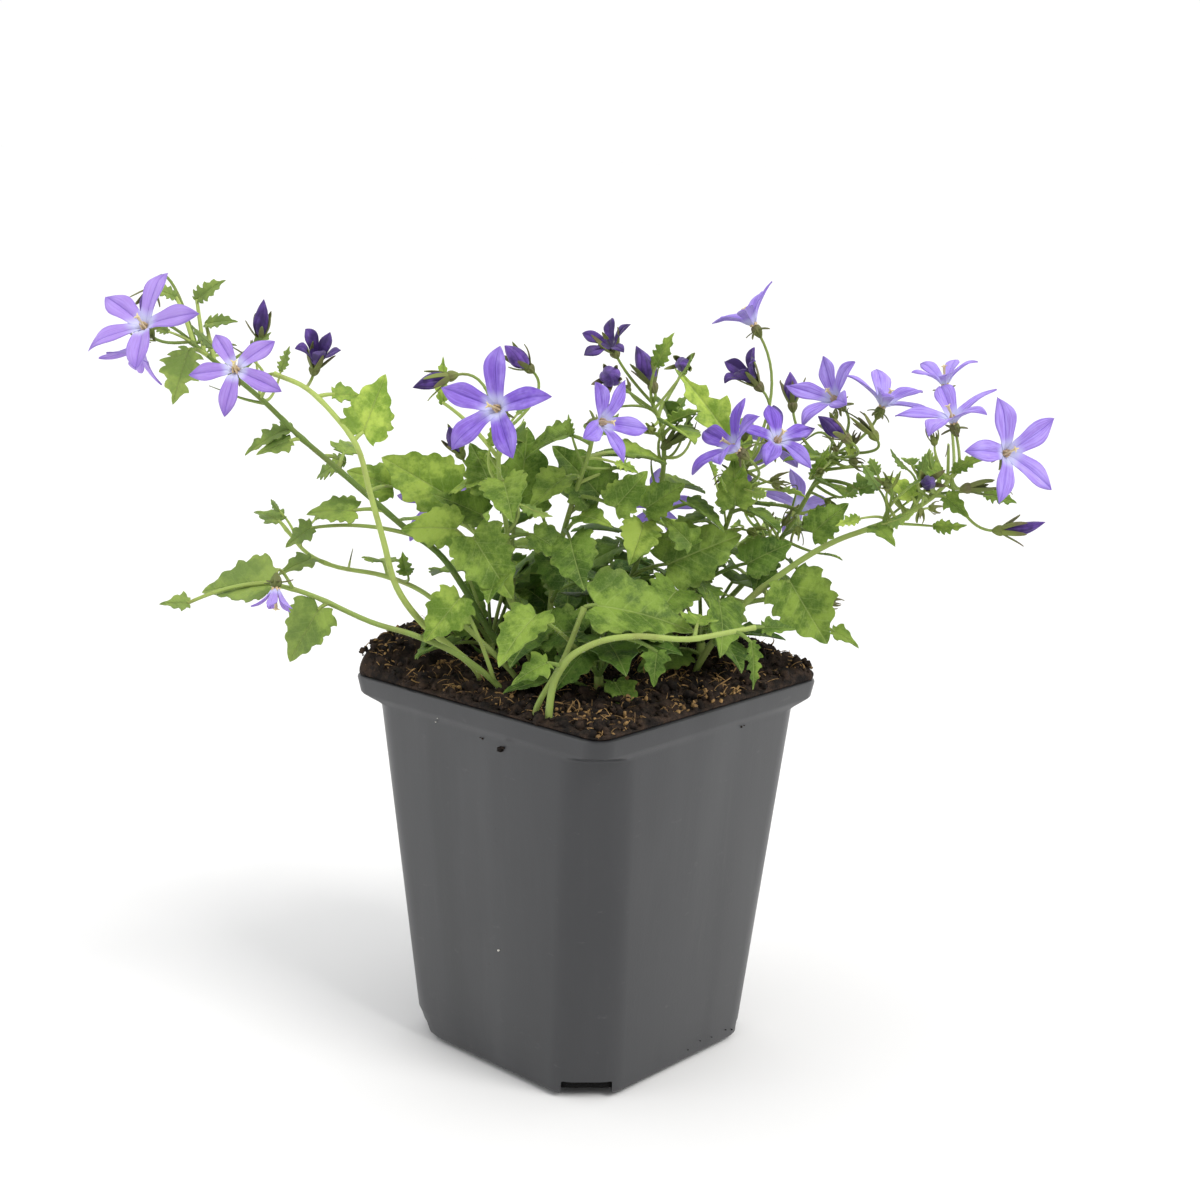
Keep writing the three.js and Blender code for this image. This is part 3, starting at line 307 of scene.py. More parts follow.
    {"name": "stem_back_left", "radius": (1, 0.6),
     "route": [[-10, 13, 98], [-12, 15, 108], [-20, 26, 120], [-29, 35, 128], [-36, 43, 132],
               [-41, 49, 134]],
     "spread": (5, 0.35, 0.97, (4, 9), (5, 45), (11, 16), 4),
     "blooms": [["bloom_back_left", 1, -46, 59, 135, 120, 20, 12.5, 12, 0]],
     "buds": [["bud_back_left", 0.9, -34, 53, 141, 100, 50, 9]]},
    {"name": "stem_back", "radius": (1, 0.6),
     "route": [[9, 14, 98], [10, 16, 108], [13, 29, 122], [15, 41, 129], [17, 52, 133]],
     "spread": (5, 0.4, 0.97, (4, 9), (5, 45), (11, 16), 4),
     "blooms": [["bloom_back", 1, 19, 63, 135, 85, 18, 12.5, 10, 0]]},
    {"name": "stem_back_right", "radius": (1, 0.6),
     "route": [[20, 17, 98], [22, 19, 108], [32, 30, 121], [42, 40, 129], [52, 49, 134]],
     "spread": (5, 0.4, 0.97, (4, 9), (5, 45), (11, 15), 10),
     "blooms": [["bloom_back_right", 1, 60, 57, 137, 50, 22, 12.5, 14, 0]],
     "buds": [["bud_back_right", 0.9, 44, 52, 142, 80, 55, 9]]},
    {"name": "tuft_left", "radius": (1.6, 1.3),
     "route": [[-25, -3, 98], [-26, -3, 109]],
     "spread": (4, 0.95, 0.98, (10, 26), (42, 80), (14, 18), 2)},
    {"name": "tuft_front", "radius": (1.6, 1.3),
     "route": [[3, -26, 97], [3, -26, 107]],
     "spread": (7, 0.95, 0.98, (10, 34), (40, 78), (14, 19), 266)},
    {"name": "tuft_right", "radius": (1.6, 1.3),
     "route": [[30, -1, 98], [30, 0, 110]],
     "spread": (5, 0.95, 0.98, (12, 36), (42, 78), (14, 19), 35)},
    {"name": "tuft_back", "radius": (1.6, 1.3),
     "route": [[-6, 23, 98], [-6, 23, 110]],
     "spread": (5, 0.95, 0.98, (12, 36), (40, 76), (14, 19), 42)}]

# Small leaves without a place in the stem table, as placed leaves
EXTRA_LEAVES = {
    "tuft_left": [
        [0.9, -30, 6, 112, 160, 15, 20, -95, 25], [0.9, -24, 10, 118, 60, 15, 35, -85, 20],
        [0.9, -19, 9, 110, 20, 14, 10, -90, 30], [0.9, -27, 4, 120, 100, 14, 60, -90, 10]],
    "tuft_back": [[0.8, -12, 16, 116, 150, 16, 30, -90, 20], [0.8, -3, 17, 114, 20, 16, 25, -90, 25]],
    "stem_centre_left": [[0.9, -38, -16, 174, 100, 12, 82, -90, 5, 0.34]],
    "stem_left_long": [
        [0.55, -52, -2, 150, 175, 13, 25, -100, 35], [0.66, -64, -6, 157, 150, 12, -20, -80, 40, 0.6]]}
# Leaves deep in the plant, as spreads; their tone is cut to 0.6 as painted shade
INNER_LEAVES = {
    "tuft_left": (5, 0.3, 1, (8, 22), (10, 60), (12, 17), 31),
    "tuft_front": (5, 0.3, 1, (6, 14), (15, 60), (11, 15), 32),
    "tuft_right": (6, 0.3, 1, (6, 15), (20, 65), (12, 16), 38),
    "tuft_back": (7, 0.3, 1, (8, 26), (5, 60), (12, 18), 34),
    "stem_centre": (5, 0.15, 0.6, (5, 14), (-5, 40), (12, 17), 35),
    "stem_centre_right": (5, 0.15, 0.6, (5, 14), (-5, 40), (12, 17), 36)}

# Studio
CAMERA_PLACE = (2.8, -510.8, 235.9)
CAMERA_PITCH = 0.2215
CAMERA_ROLL = 0.0259
SENSOR = 36
CAMERA_FOCAL = 1974 / 1200 * SENSOR
FLOOR_RADIUS = 60
FLOOR_SIDES = 128
FLOOR_HEIGHT = -0.0012


# Directions and curves
def direction(azimuth, elevation):
    a, e = math.radians(azimuth), math.radians(elevation)
    return np.array([math.cos(e) * math.cos(a), math.cos(e) * math.sin(a), math.sin(e)])


def unit(v):
    return v / np.linalg.norm(v)


def turned(v, axis, degrees):
    """v turned about a unit axis."""
    a = math.radians(degrees)
    return v * math.cos(a) + np.cross(axis, v) * math.sin(a) + axis * np.dot(axis, v) * (1 - math.cos(a))


def stream(seed):
    """A repeatable stream of numbers from 0 to 1."""
    state = seed * 7919 + 11
    while True:
        state = state * 16807 % 2147483647
        yield state / 2147483647


class Route:
    """A smooth curve through a stem's points, by place from 0 to 1."""

    def __init__(self, points):
        self.points = np.array(points, float)

    def at(self, place):
        points = self.points
        last = len(points) - 1
        i = min(int(last * place), last - 1)
        t = last * place - i
        a, b = points[i], points[i + 1]
        before = points[i - 1] if i else 2 * points[0] - points[1]
        after = points[i + 2] if i + 2 <= last else 2 * points[last] - points[last - 1]
        t0, t1 = (b - before) / 2, (after - a) / 2
        return a + t0 * t + (3 * (b - a) - 2 * t0 - t1) * t ** 2 + (2 * (a - b) + t0 + t1) * t ** 3

    def line(self, steps):
        return np.array([self.at(i / steps) for i in range(steps + 1)])


def bezier(start, bend, end, steps):
    t = np.linspace(0, 1, steps + 1)[:, None]
    return (1 - t) ** 2 * start + 2 * t * (1 - t) * bend + t ** 2 * end


# Meshes
def linked(name, data):
    """A new object of the scene."""
    thing = bpy.data.objects.new(name, data)
    bpy.context.scene.collection.objects.link(thing)
    return thing


def soften(shape, crease):
    """Smooth the edges that are blunter than a crease."""
    limit = math.radians(crease)
    for edge in shape.edges:
        edge.smooth = len(edge.link_faces) == 2 and edge.calc_face_angle(0) < limit


class Body:
    """Gathers the shapes of one piece, in the viewer's millimetres, and makes a mesh of them."""

    def __init__(self):
        self.points, self.uvs, self.tones, self.unders = [], [], [], []
        self.faces, self.slots = [], []
        self.count = 0

    def add(self, points, faces, slot=0, uv=None, tone=0.5, under=0.0):
        points = np.asarray(points, float).reshape(-1, 3)
        size = len(points)
        self.points.append(points)
        self.uvs.append(np.zeros((size, 2)) if uv is None else np.asarray(uv, float).reshape(-1, 2))
        self.tones.append(np.broadcast_to(np.asarray(tone, float), size))
        self.unders.append(np.broadcast_to(np.asarray(under, float), size))
        self.faces += [tuple(i + self.count for i in face) for face in faces]
        self.slots += [slot] * len(faces)
        self.count += size

    def add_tube(self, path, radii, sides, slot, tone=0.5, mapped=False):
        points, faces, uv = tube(path, radii, sides)
        self.add(points, faces, slot, uv if mapped else None, tone)

    def make(self, name, materials, turn=PLANT_TURN, crease=50):
        points = np.concatenate(self.points) * MM
        c, s = math.cos(turn), math.sin(turn)
        points = np.stack(
            [points[:, 0] * c - points[:, 1] * s, points[:, 0] * s + points[:, 1] * c, points[:, 2]], 1)
        mesh = bpy.data.meshes.new(name)
        mesh.from_pydata(points.tolist(), [], self.faces)
        mesh.polygons.foreach_set("material_index", self.slots)
        corner = np.empty(len(mesh.loops), int)
        mesh.loops.foreach_get("vertex_index", corner)
        layer = mesh.uv_layers.new(name="along")
        layer.data.foreach_set("uv", np.concatenate(self.uvs)[corner].ravel())
        for label, values in (("tone", self.tones), ("under", self.unders)):
            attribute = mesh.attributes.new(label, "FLOAT", "POINT")
            attribute.data.foreach_set("value", np.concatenate(values).astype(np.float32))
        shape = bmesh.new()
        shape.from_mesh(mesh)
        bmesh.ops.remove_doubles(shape, verts=shape.verts, dist=WELD * MM)
        bmesh.ops.recalc_face_normals(shape, faces=shape.faces)
        soften(shape, crease)
        for face in shape.faces:
            face.smooth = True
        shape.to_mesh(mesh)
        shape.free()
        for material in materials:
            mesh.materials.append(material)
        return linked(name, mesh)


def grid_faces(rows, columns, closed=False):
    """Four-cornered faces between the points of a grid, given row by row."""
    faces = []
    for r in range(rows - 1):
        for c in range(columns if closed else columns - 1):
            a, b = r * columns + c, r * columns + (c + 1) % columns
            faces.append((a, b, b + columns, a + columns))
    return faces


def closed_faces(rows, columns):
    """Faces round a stack of rings, with both ends closed."""
    last = (rows - 1) * columns
    ends = [tuple(range(columns))[::-1], tuple(range(last, last + columns))]
    return grid_faces(rows, columns, closed=True) + ends


def tube(path, radii, sides):
    """Points, faces and uv of a closed tube along a path."""
    path = np.asarray(path, float)
    radii = np.broadcast_to(np.asarray(radii, float), len(path))
    tangents = np.gradient(path, axis=0)
    side = np.array([0.36, 0.8, 0.48])
    points, uv = [], []
    for i, (point, tangent) in enumerate(zip(path, tangents)):
        tangent = unit(tangent)
        side = unit(side - tangent * np.dot(side, tangent))
        up = np.cross(tangent, side)
        for k in range(sides):
            angle = 2 * math.pi * k / sides
            points.append(point + radii[i] * (side * math.cos(angle) + up * math.sin(angle)))
            uv.append((i / (len(path) - 1), k / sides))
    return points, closed_faces(len(path), sides), uv


def sheet(upper, lower, rows, columns):
    """Points and faces of a thin closed sheet from two like grids."""
    size = rows * columns
    faces = grid_faces(rows, columns)
    faces += [tuple(i + size for i in face[::-1]) for face in faces]
    border = list(range(columns))
    border += [r * columns + columns - 1 for r in range(1, rows)]
    border += [(rows - 1) * columns + c for c in range(columns - 2, -1, -1)]
    border += [r * columns for r in range(rows - 2, 0, -1)]
    for i, a in enumerate(border):
        b = border[(i + 1) % len(border)]
        faces.append((b, a, a + size, b + size))
    return np.concatenate([upper, lower]), faces


# Leaves
def edge_line(a, b, bulge, shares):
    """Points between two places of an outline, bowed outwards by a share of their distance."""
    ahead = b - a
    outward = np.array([-ahead[1], ahead[0]])
    return [a + ahead * share + outward * bulge * 4 * share * (1 - share) for share in shares]


def half_outline(lobes, depth, rng):
    """Half of a lobed outline from the stalk to the tip, in shares of the leaf's length."""
    tips = [np.array(lobe) + rng.uniform(-0.025, 0.025, 2) for lobe in lobes] + [np.array([1.0, 0.0])]
    here = np.array([-0.03, 0.05])
    outline = [np.array([0.0, 0.0]), here]
    for k, tip in enumerate(tips[:-1]):
        outline += edge_line(here, tip, 0.16 if k else 0.1, (0.3, 0.62, 0.86)) + [tip]
        following = tips[k + 1]
        here = tip + (following - tip) * rng.uniform(0.3, 0.45)
        here[1] *= 1 - depth * rng.uniform(0.6, 1.3)
        outline += edge_line(tip, here, -0.12, (0.5,)) + [here]
    outline += edge_line(here, tips[-1], 0.08, (0.35, 0.7)) + [tips[-1]]
    return np.array(outline)


def is_inner(face, rows, columns):
    """Whether a border face of a half blade lies on the midrib, where the other half goes on."""
    size = rows * columns
    low = [i for i in face if i < size]
    on_midrib = all(i % columns == 0 for i in low)
    return len(low) == 2 and len(face) == 4 and on_midrib and abs(low[0] - low[1]) == columns


def blade(body, base, ahead, normal, length, width, rng, tone):
    """One leaf blade: both halves from the midrib to the lobed edge, folded, drooped and waved."""
    across = np.cross(normal, ahead)
    large = length > LARGE_LEAF
    lobes, depth = (LARGE_LOBES, LARGE_NOTCH) if large else (SMALL_LOBES, SMALL_NOTCH)
    if width < LEAF_WIDTH:
        lobes, depth = NARROW_LOBES, NARROW_NOTCH
    shares = np.array([0, 0.2, 0.42, 0.65, 0.85, 1] if large else [0, 0.33, 0.68, 1])
    curl, wave, phase = rng.uniform(-0.45, 0.3), rng.uniform(0.02, 0.05), rng.uniform(0, 6.28)
    lean, sway = rng.uniform(-0.06, 0.06), rng.uniform(-0.07, 0.07)

    def height(u, v):
        side = np.abs(v)
        vein = 2 * math.pi * (u - VEIN_LEAN * side) / VEIN_STEP
        rise = LEAF_FOLD * side / LEAF_WIDTH - LEAF_DROOP * u * np.abs(u) + curl * side ** 2
        rise += wave * np.sin(8 * u + 5 * side + phase + np.sign(v)) * np.minimum(1, (side / 0.35) ** 2)
        rise += 0.006 * np.cos(vein) * np.minimum(1, side / 0.12) - 0.015 * np.exp(-(side / 0.03) ** 2)
        return rise + lean * v

    def place(u, v):
        bent = v + sway * u ** 2
        return base + length * (
            u[:, None] * ahead + bent[:, None] * across + height(u, v)[:, None] * normal)

    for sign in (1, -1):
        outline = half_outline(lobes, depth, rng)
        outline[:, 1] *= width / LEAF_WIDTH
        feet = np.maximum.accumulate(np.maximum(0, outline[:, 0] - VEIN_LEAN * outline[:, 1]))
        u = feet[:, None] + (outline[:, :1] - feet[:, None]) * shares
        v = sign * outline[:, 1:] * shares
        rows, columns = u.shape
        u, v = u.ravel(), v.ravel()
        middle = place(u, v)
        points, faces = sheet(middle + BLADE_HALF * normal, middle - BLADE_HALF * normal, rows, columns)
        uv = np.stack([(u + LEAF_UV_START) / LEAF_UV_SPAN, v + 0.5], 1)
        under = np.repeat([0.0, 1.0], rows * columns)
        faces = [face for face in faces if not is_inner(face, rows, columns)]
        body.add(points, faces, LEAF, np.concatenate([uv, uv]), tone, under)
    along = np.linspace(-0.01, 0.93, 9)
    rib = place(along, along * 0) - 0.12 * normal
    thin = np.linspace(0.34, 0.1, len(along)) * min(1, length / 14)
    body.add_tube(rib, thin, 5, STEM, tone)


def add_hairs(body, path, radii, rng, density):
    """Fine hairs, which stand out of stems and stalks as slim three-sided cones."""
    steps = np.linalg.norm(np.diff(path, axis=0), axis=1)
    for i, step in enumerate(steps):
        tangent = unit(path[i + 1] - path[i])
        for _ in range(rng.poisson(step * density)):
            place = path[i] + (path[i + 1] - path[i]) * rng.uniform()
            out = rng.normal(size=3)
            out = unit(out - tangent * np.dot(out, tangent))
            root = place + out * radii[i] * 0.8
            tip = root + (out + tangent * rng.uniform(-0.6, 0.3)) * rng.uniform(0.35, 0.85)
            corners = [root + HAIR_RADIUS * turned(tangent, out, 120 * k) for k in range(3)]
            body.add(corners + [tip], [(0, 1, 3), (1, 2, 3), (2, 0, 3), (2, 1, 0)], HAIR)


def stalked_leaf(body, start, base, row, rng, tone):
    """A blade with its stalk, from a point inside the stem."""
    azimuth, length, pitch, face_azimuth, face_elevation = row[:5]
    width = row[5] if len(row) > 5 else LEAF_WIDTH
    ahead = direction(azimuth, pitch)
    normal = direction(face_azimuth, face_elevation)
    normal = unit(normal - ahead * np.dot(normal, ahead))
    reach = np.linalg.norm(base - start)
    bend = (start + base) / 2 + np.array([0, 0, STALK_BEND * reach])
    path = bezier(start, bend, base + 0.25 * ahead, 4 + int(reach / 3))
    radii = np.linspace(STALK_RADIUS, 0.72 * STALK_RADIUS, len(path))
    body.add_tube(path, radii, 7, STEM, tone, mapped=True)
    blade(body, base, ahead, normal, length, width, rng, tone)
    add_hairs(body, path[1:-1], radii[1:-1], rng, STALK_HAIRS)


# Flowers
def axes(azimuth, elevation, spin):
    """The way out of a flower, and two ways square to it."""
    out = direction(azimuth, elevation)
    side = np.array([0, 0, 1.0]) - out * out[2]
    if np.linalg.norm(side) < 0.05:
        side = np.array([1.0, 0, 0]) - out * out[0]
    side = turned(unit(side), out, spin)
    return out, side, np.cross(out, side)


def radial(frame_axes, degrees):
    a = math.radians(degrees)
    return frame_axes[1] * math.cos(a) + frame_axes[2] * math.sin(a)


def sepal(body, line, widths, normals, across, tone):
    """A narrow pointed green blade along a line: three points across, folded along the middle."""
    upper, lower, uv = [], [], []
    for i, point in enumerate(line):
        for share in (-1, 0, 1):
            place = point + across * share * widths[i] + normals[i] * abs(share) * SEPAL_FOLD * widths[i]
            upper.append(place + normals[i] * SEPAL_HALF)
            lower.append(place - normals[i] * SEPAL_HALF)
            uv.append((i / (len(line) - 1), 0.5 + 0.5 * share))
    points, faces = sheet(np.array(upper), np.array(lower), len(line), 3)
    body.add(points, faces, CALYX, uv + uv, tone)


def calyx(body, centre, frame_axes, sepals, clear, rng, tone):
    """The ribbed green cup with its five pointed sepals."""
    out = frame_axes[0]
    low = CUP_PROFILE[0][0]
    squeeze = (CUP_CLEAR - low - (clear - CUP_CLEAR)) / (CUP_CLEAR - low)
    points, uv = [], []
    for i, (height, radius) in enumerate(CUP_PROFILE):
        place = centre + out * (low + (height - low) * squeeze)
        for k in range(CUP_SIDES):
            ribbed = radius * (1 + CUP_RIB * math.cos(math.radians(10 * 360 * k / CUP_SIDES)))
            points.append(place + radial(frame_axes, 360 * k / CUP_SIDES) * ribbed)
            uv.append((i / (len(CUP_PROFILE) - 1), k / CUP_SIDES))
    body.add(points, closed_faces(len(CUP_PROFILE), CUP_SIDES), CALYX, uv, tone)
    for k in range(5):
        angle = FIFTH * (k + 0.5) + rng.uniform(-9, 9)
        away, across = radial(frame_axes, angle), radial(frame_axes, angle + 90)
        reach, height, half, curl = [rng.uniform(*limits) for limits in sepals]
        start = centre + away * 0.8 - out * 2.3
        end = centre + away * reach + out * height + across * rng.uniform(-0.8, 0.8)
        bend = (start + end) / 2 + away * max(0.3, 0.2 * abs(height))
        line = bezier(start, bend, end, SEPAL_STEPS)
        shares = np.linspace(0, 1, len(line))
        line = line + np.outer(curl * shares ** 3, away) - np.outer(0.3 * abs(curl) * shares ** 4, out)
        normals = [unit(np.cross(unit(tangent), across)) for tangent in np.gradient(line, axis=0)]
        widths = half * (1 - shares) ** 0.75 * (0.75 + 1.1 * shares) + 0.05
        sepal(body, line, widths, normals, across, tone + rng.uniform(-0.2, 0.2))


def petal_widths(share):
    """Half widths of a petal by share of its length, pointed at both ends."""
    fine = np.linspace(0, 1, 91)
    smooth = np.convolve(np.interp(fine, *PETAL_OUTLINE.T), np.ones(5) / 5, "same")
    width = np.interp(share, fine, smooth)
    width[[0, -1]] = 0.0
    return width


def corolla(body, centre, frame_axes, length, opening, rng, tone, wild=1.0):
    """Five pointed petals that join in a shallow throat."""
    out = frame_axes[0]
    share = np.linspace(0, 1, PETAL_ROWS) ** 0.9
    width = petal_widths(share)
    s, t = share[:, None], PETAL_SHARES[None, :]
    rows, columns = PETAL_ROWS, len(PETAL_SHARES)
    uv = np.stack(np.broadcast_arrays(s, 0.5 + 0.5 * t), -1).reshape(-1, 2)
    under = np.repeat([0.0, 1.0], rows * columns)
    for k in range(5):
        angle = FIFTH * k + rng.uniform(-4, 4) * wild
        away, across = radial(frame_axes, angle), radial(frame_axes, angle + 90)
        twist, stretch = rng.uniform(-0.2, 0.2) * wild, rng.uniform(0.93, 1.06)
        lift, curl, phase = rng.uniform(-7, 9) * wild, rng.uniform(-0.02, 0.16) * wild, rng.uniform(0, 6.28)
        sway, broad = rng.uniform(-0.09, 0.09) * wild, rng.uniform(0.9, 1.08)
        rise = math.radians(opening + lift)
        arch = rise - np.radians(PETAL_ARCH) * s
        along = length * stretch * s
        reach = THROAT_RADIUS * 0.5 * np.minimum(1, s / 0.06) + along * np.cos((rise + arch) / 2)
        height = along * np.sin((rise + arch) / 2)
        half = width[:, None] * length * broad
        sideways = half * t + length * sway * s ** 2
        # Cupped with turned-down edges, creased along the middle, twisted, curled at the tip and waved
        height = height + half * np.abs(t) ** 1.4 * 0.36 - 0.45 * half * np.abs(t) ** 4 * s
        height = height - 0.05 * half * np.exp(-(t / 0.12) ** 2) * 3 + twist * half * t * 2 * s
        height = height - curl * length * np.maximum(0, (s - 0.6) / 0.4) ** 2
        height = height + 0.016 * length * np.sin(8 * s + phase + 2 * t) * np.abs(t) ** 2
        height = height - 1.3 * np.exp(-(reach / 1.5) ** 2)
        middle = centre + reach[..., None] * away + sideways[..., None] * across + height[..., None] * out
        middle = middle.reshape(-1, 3)
        normal = out * math.cos(rise) - away * math.sin(rise)
        points, faces = sheet(middle + PETAL_HALF * normal, middle - PETAL_HALF * normal, rows, columns)
        body.add(points, faces, PETAL, np.concatenate([uv, uv]), tone + rng.uniform(-0.14, 0.14), under)


def style(body, centre, frame_axes, rng):
    """The cream style, its stigma lobes, and the pale ring of stamen bases round it."""
    out = frame_axes[0]
    lean = radial(frame_axes, rng.uniform(0, 360))
    tip = centre + out * 3.6 + lean * 0.5
    path = bezier(centre - out * 1.6, centre + out * 1.2, tip, 6)
    body.add_tube(path, [0.62, 0.5, 0.36, 0.3, 0.3, 0.36, 0.42], 8, STYLE)
    for k in range(3):
        away = radial(frame_axes, 120 * k + 30)
        lobe = bezier(tip - out * 0.2, tip + out * 0.75 + away * 0.3, tip + out * 0.45 + away * 1.0, 5)
        body.add_tube(lobe, [0.24, 0.26, 0.24, 0.2, 0.14, 0.06], 6, STYLE)
    for k in range(5):
        away = radial(frame_axes, FIFTH * (k + 0.5))
        low, top = centre - out * 1.2 + away * 0.8, centre + out * 1.3 + away * 0.5
        stamen = bezier(low, centre + out * 0.6 + away * 0.9, top, 5)
        body.add_tube(stamen, [0.3, 0.34, 0.26, 0.2, 0.16, 0.08], 5, STAMEN)


def spent_style(body, centre, frame_axes, rng):
    """The dry thread that a flower leaves, with its split tip."""
    out = frame_axes[0]
    lean = radial(frame_axes, rng.uniform(0, 360))
    tip = centre + out * rng.uniform(5, 8) + lean * rng.uniform(1, 3)
    thread = bezier(centre - out * 2.4, centre + out * 2.5, tip, 7)
    body.add_tube(thread, np.linspace(0.3, 0.17, 8), 6, CALYX, 0)
    for k in range(2):
        away = turned(lean, out, 90 + 180 * k)
        lobe = bezier(tip - out * 0.1, tip + out * 0.9, tip + out * 0.9 + away * 1.2, 5)
        body.add_tube(lobe, np.linspace(0.17, 0.1, 6), 5, CALYX, 0)


def bud(body, centre, frame_axes, length, rng, tone, thick=1.0, bent=0.0):
    """A closed bud: a pointed spindle of five folded, twisted lobes."""
    out = frame_axes[0]
    points, uv = [], []
    lean = radial(frame_axes, rng.uniform(0, 360)) * (rng.uniform(0, 0.07) + bent) * length
    for share in np.linspace(0, 1, BUD_ROWS):
        radius = np.interp(share, *BUD_PROFILE.T) * length * thick
        twist = BUD_TWIST * share + BUD_TIP_TWIST * share ** 2
        middle = centre + out * (share * length - CUP_CLEAR + GAP) + lean * share ** 2
        for k in range(BUD_SIDES):
            angle = 360 * k / BUD_SIDES
            lobe = abs(math.cos(math.radians(2.5 * angle)))
            folded = radius * (0.86 + 0.2 * lobe ** 0.6)
            points.append(middle + radial(frame_axes, angle + twist) * folded)
            uv.append((share, k / BUD_SIDES))
    body.add(points, closed_faces(BUD_ROWS, BUD_SIDES), 0, uv, tone)


def small_bud(body, centre, ahead, radius, rng, tone):
    """A young bud: a ribbed green bead with short erect sepals."""
    heights = np.linspace(-1, 1, 7)
    path = [centre + ahead * radius * (1 + height) for height in heights]
    thick = radius * np.sqrt(np.maximum(0.03, 1 - heights ** 2)) * 0.8
    body.add_tube(path, thick, 8, CALYX, tone)
    side = unit(np.cross(ahead, rng.normal(size=3)))
    for k in range(5):
        away = turned(side, ahead, FIFTH * k)
        across = np.cross(ahead, away)
        start = centre + ahead * radius * 0.9 + away * radius * 0.5
        tip = centre + ahead * radius * rng.uniform(2.6, 4.2) + away * radius * rng.uniform(0.3, 1.6)
        line = bezier(start, (start + tip) / 2 + away * radius * 0.6, tip, 5)
        widths = 0.42 * (1 - np.linspace(0, 1, 6)) ** 0.7 + 0.04
        sepal(body, line, widths, [away] * 6, across, tone + rng.uniform(-0.2, 0.2))


def add_shoots(body, route, count, first, last, rng):
    """Thin side shoots among the flowers, each with a small leaf, a tiny green bud or a bare end."""
    for _ in range(count):
        start = route.at(rng.uniform(first, last))
        reach = rng.uniform(5, 14)
        ahead = direction(rng.uniform(0, 360), rng.uniform(-15, 75))
        end = start + ahead * reach
        bend = (start + end) / 2 + rng.normal(size=3) * 0.22 * reach
        path = bezier(start, bend, end, 8)
        tone = rng.uniform(0.25, 1)
        body.add_tube(path, np.linspace(1.15, 0.7, 9) * SHOOT_RADIUS, 5, STEM, tone)
        tip_ahead = unit(path[-1] - path[-2])
        kind = rng.uniform()
        if kind < 0.55:
            normal = unit(np.cross(tip_ahead, rng.normal(size=3)))
            blade(body, end, tip_ahead, normal, rng.uniform(5, 9.5), rng.uniform(0.35, 0.6), rng, tone)
        elif kind < 0.85:
            small_bud(body, end, tip_ahead, rng.uniform(1.0, 1.5), rng, tone)
        else:
            curl = bezier(end, end + tip_ahead * 3, end + tip_ahead * 4 + rng.normal(size=3) * 2, 6)
            body.add_tube(curl, np.linspace(0.24, 0.1, 7), 5, CALYX, 0.1)


# Materials
class Nodes:
    """A small helper that makes and joins the nodes of one material."""

    def __init__(self, name):
        self.material = bpy.data.materials.new(name)
        self.material.use_nodes = True
        self.tree = self.material.node_tree
        self.shader = self.tree.nodes["Principled BSDF"]

    def node(self, kind, **values):
        node = self.tree.nodes.new(kind)
        for key, value in values.items():
            setattr(node, key, value)
        return node

    def join(self, value, socket):
        if isinstance(value, bpy.types.NodeSocket):
            self.tree.links.new(value, socket)
        elif isinstance(value, (tuple, list)) and len(value) == 3 and socket.type == "RGBA":
            socket.default_value = (*value, 1)
        else:
            socket.default_value = value

    def set(self, node, **values):
        for key, value in values.items():
            self.join(value, node.inputs[key.replace("_", " ")])

    def math(self, operation, a, b=0.0, c=0.0):
        node = self.node("ShaderNodeMath", operation=operation)
        for socket, value in zip(node.inputs, (a, b, c)):
            self.join(value, socket)
        return node.outputs[0]

    def times(self, a, b):
        return self.math("MULTIPLY", a, b)

    def mix(self, share, a, b):
        node = self.node("ShaderNodeMix", data_type="RGBA")
        self.join(share, node.inputs["Factor"])
        self.join(a, node.inputs[6])
        self.join(b, node.inputs[7])
        return node.outputs[2]

    def tint(self, colour, mask, strength, target):
        """The colour, moved towards a target where a mask says, with a strength."""
        return self.mix(self.times(mask, strength), colour, target)

    def ramp(self, value, low, high, out_low=0.0, out_high=1.0):
        node = self.node("ShaderNodeMapRange", interpolation_type="SMOOTHSTEP")
        self.join(value, node.inputs["Value"])
        self.set(node, From_Min=low, From_Max=high, To_Min=out_low, To_Max=out_high)
        return node.outputs["Result"]

    def place(self, scale=(1, 1, 1)):
        where = self.node("ShaderNodeTexCoord").outputs["Object"]
        mapping = self.node("ShaderNodeMapping")
        self.join(where, mapping.inputs["Vector"])
        self.set(mapping, Scale=scale)
        return mapping.outputs["Vector"]

    def noise(self, vector, scale, detail=3.0, roughness=0.55):
        node = self.node("ShaderNodeTexNoise")
        self.join(vector, node.inputs["Vector"])
        self.set(node, Scale=scale, Detail=detail, Roughness=roughness)
        return node.outputs["Fac"]

    def cells(self, vector, scale, feature="F1"):
        node = self.node("ShaderNodeTexVoronoi", feature=feature)
        self.join(vector, node.inputs["Vector"])
        self.set(node, Scale=scale)
        return node.outputs["Distance"]

    def value(self, name):
        return self.node("ShaderNodeAttribute", attribute_name=name).outputs["Fac"]

    def parts(self, vector):
        node = self.node("ShaderNodeSeparateXYZ")
        self.join(vector, node.inputs[0])
        return node.outputs

    def along(self):
        """Place along a shape and round or across it."""
        return self.parts(self.node("ShaderNodeUVMap", uv_map="along").outputs["UV"])[:2]

    def across(self):
        """The distance to the right of the pot's middle, as seen from the front."""
        node = self.node("ShaderNodeVectorMath", operation="DOT_PRODUCT")
        self.join(self.place(), node.inputs[0])
        node.inputs[1].default_value = (TURN_COS, TURN_SIN, 0)
        return node.outputs["Value"]

    def bump(self, height, strength, distance):
        node = self.node("ShaderNodeBump")
        self.join(height, node.inputs["Height"])
        self.set(node, Strength=strength, Distance=distance)
        self.join(node.outputs["Normal"], self.shader.inputs["Normal"])

    def finish(self, colour, roughness, **values):
        self.set(self.shader, Base_Color=colour, Roughness=roughness, **values)
        return self.material


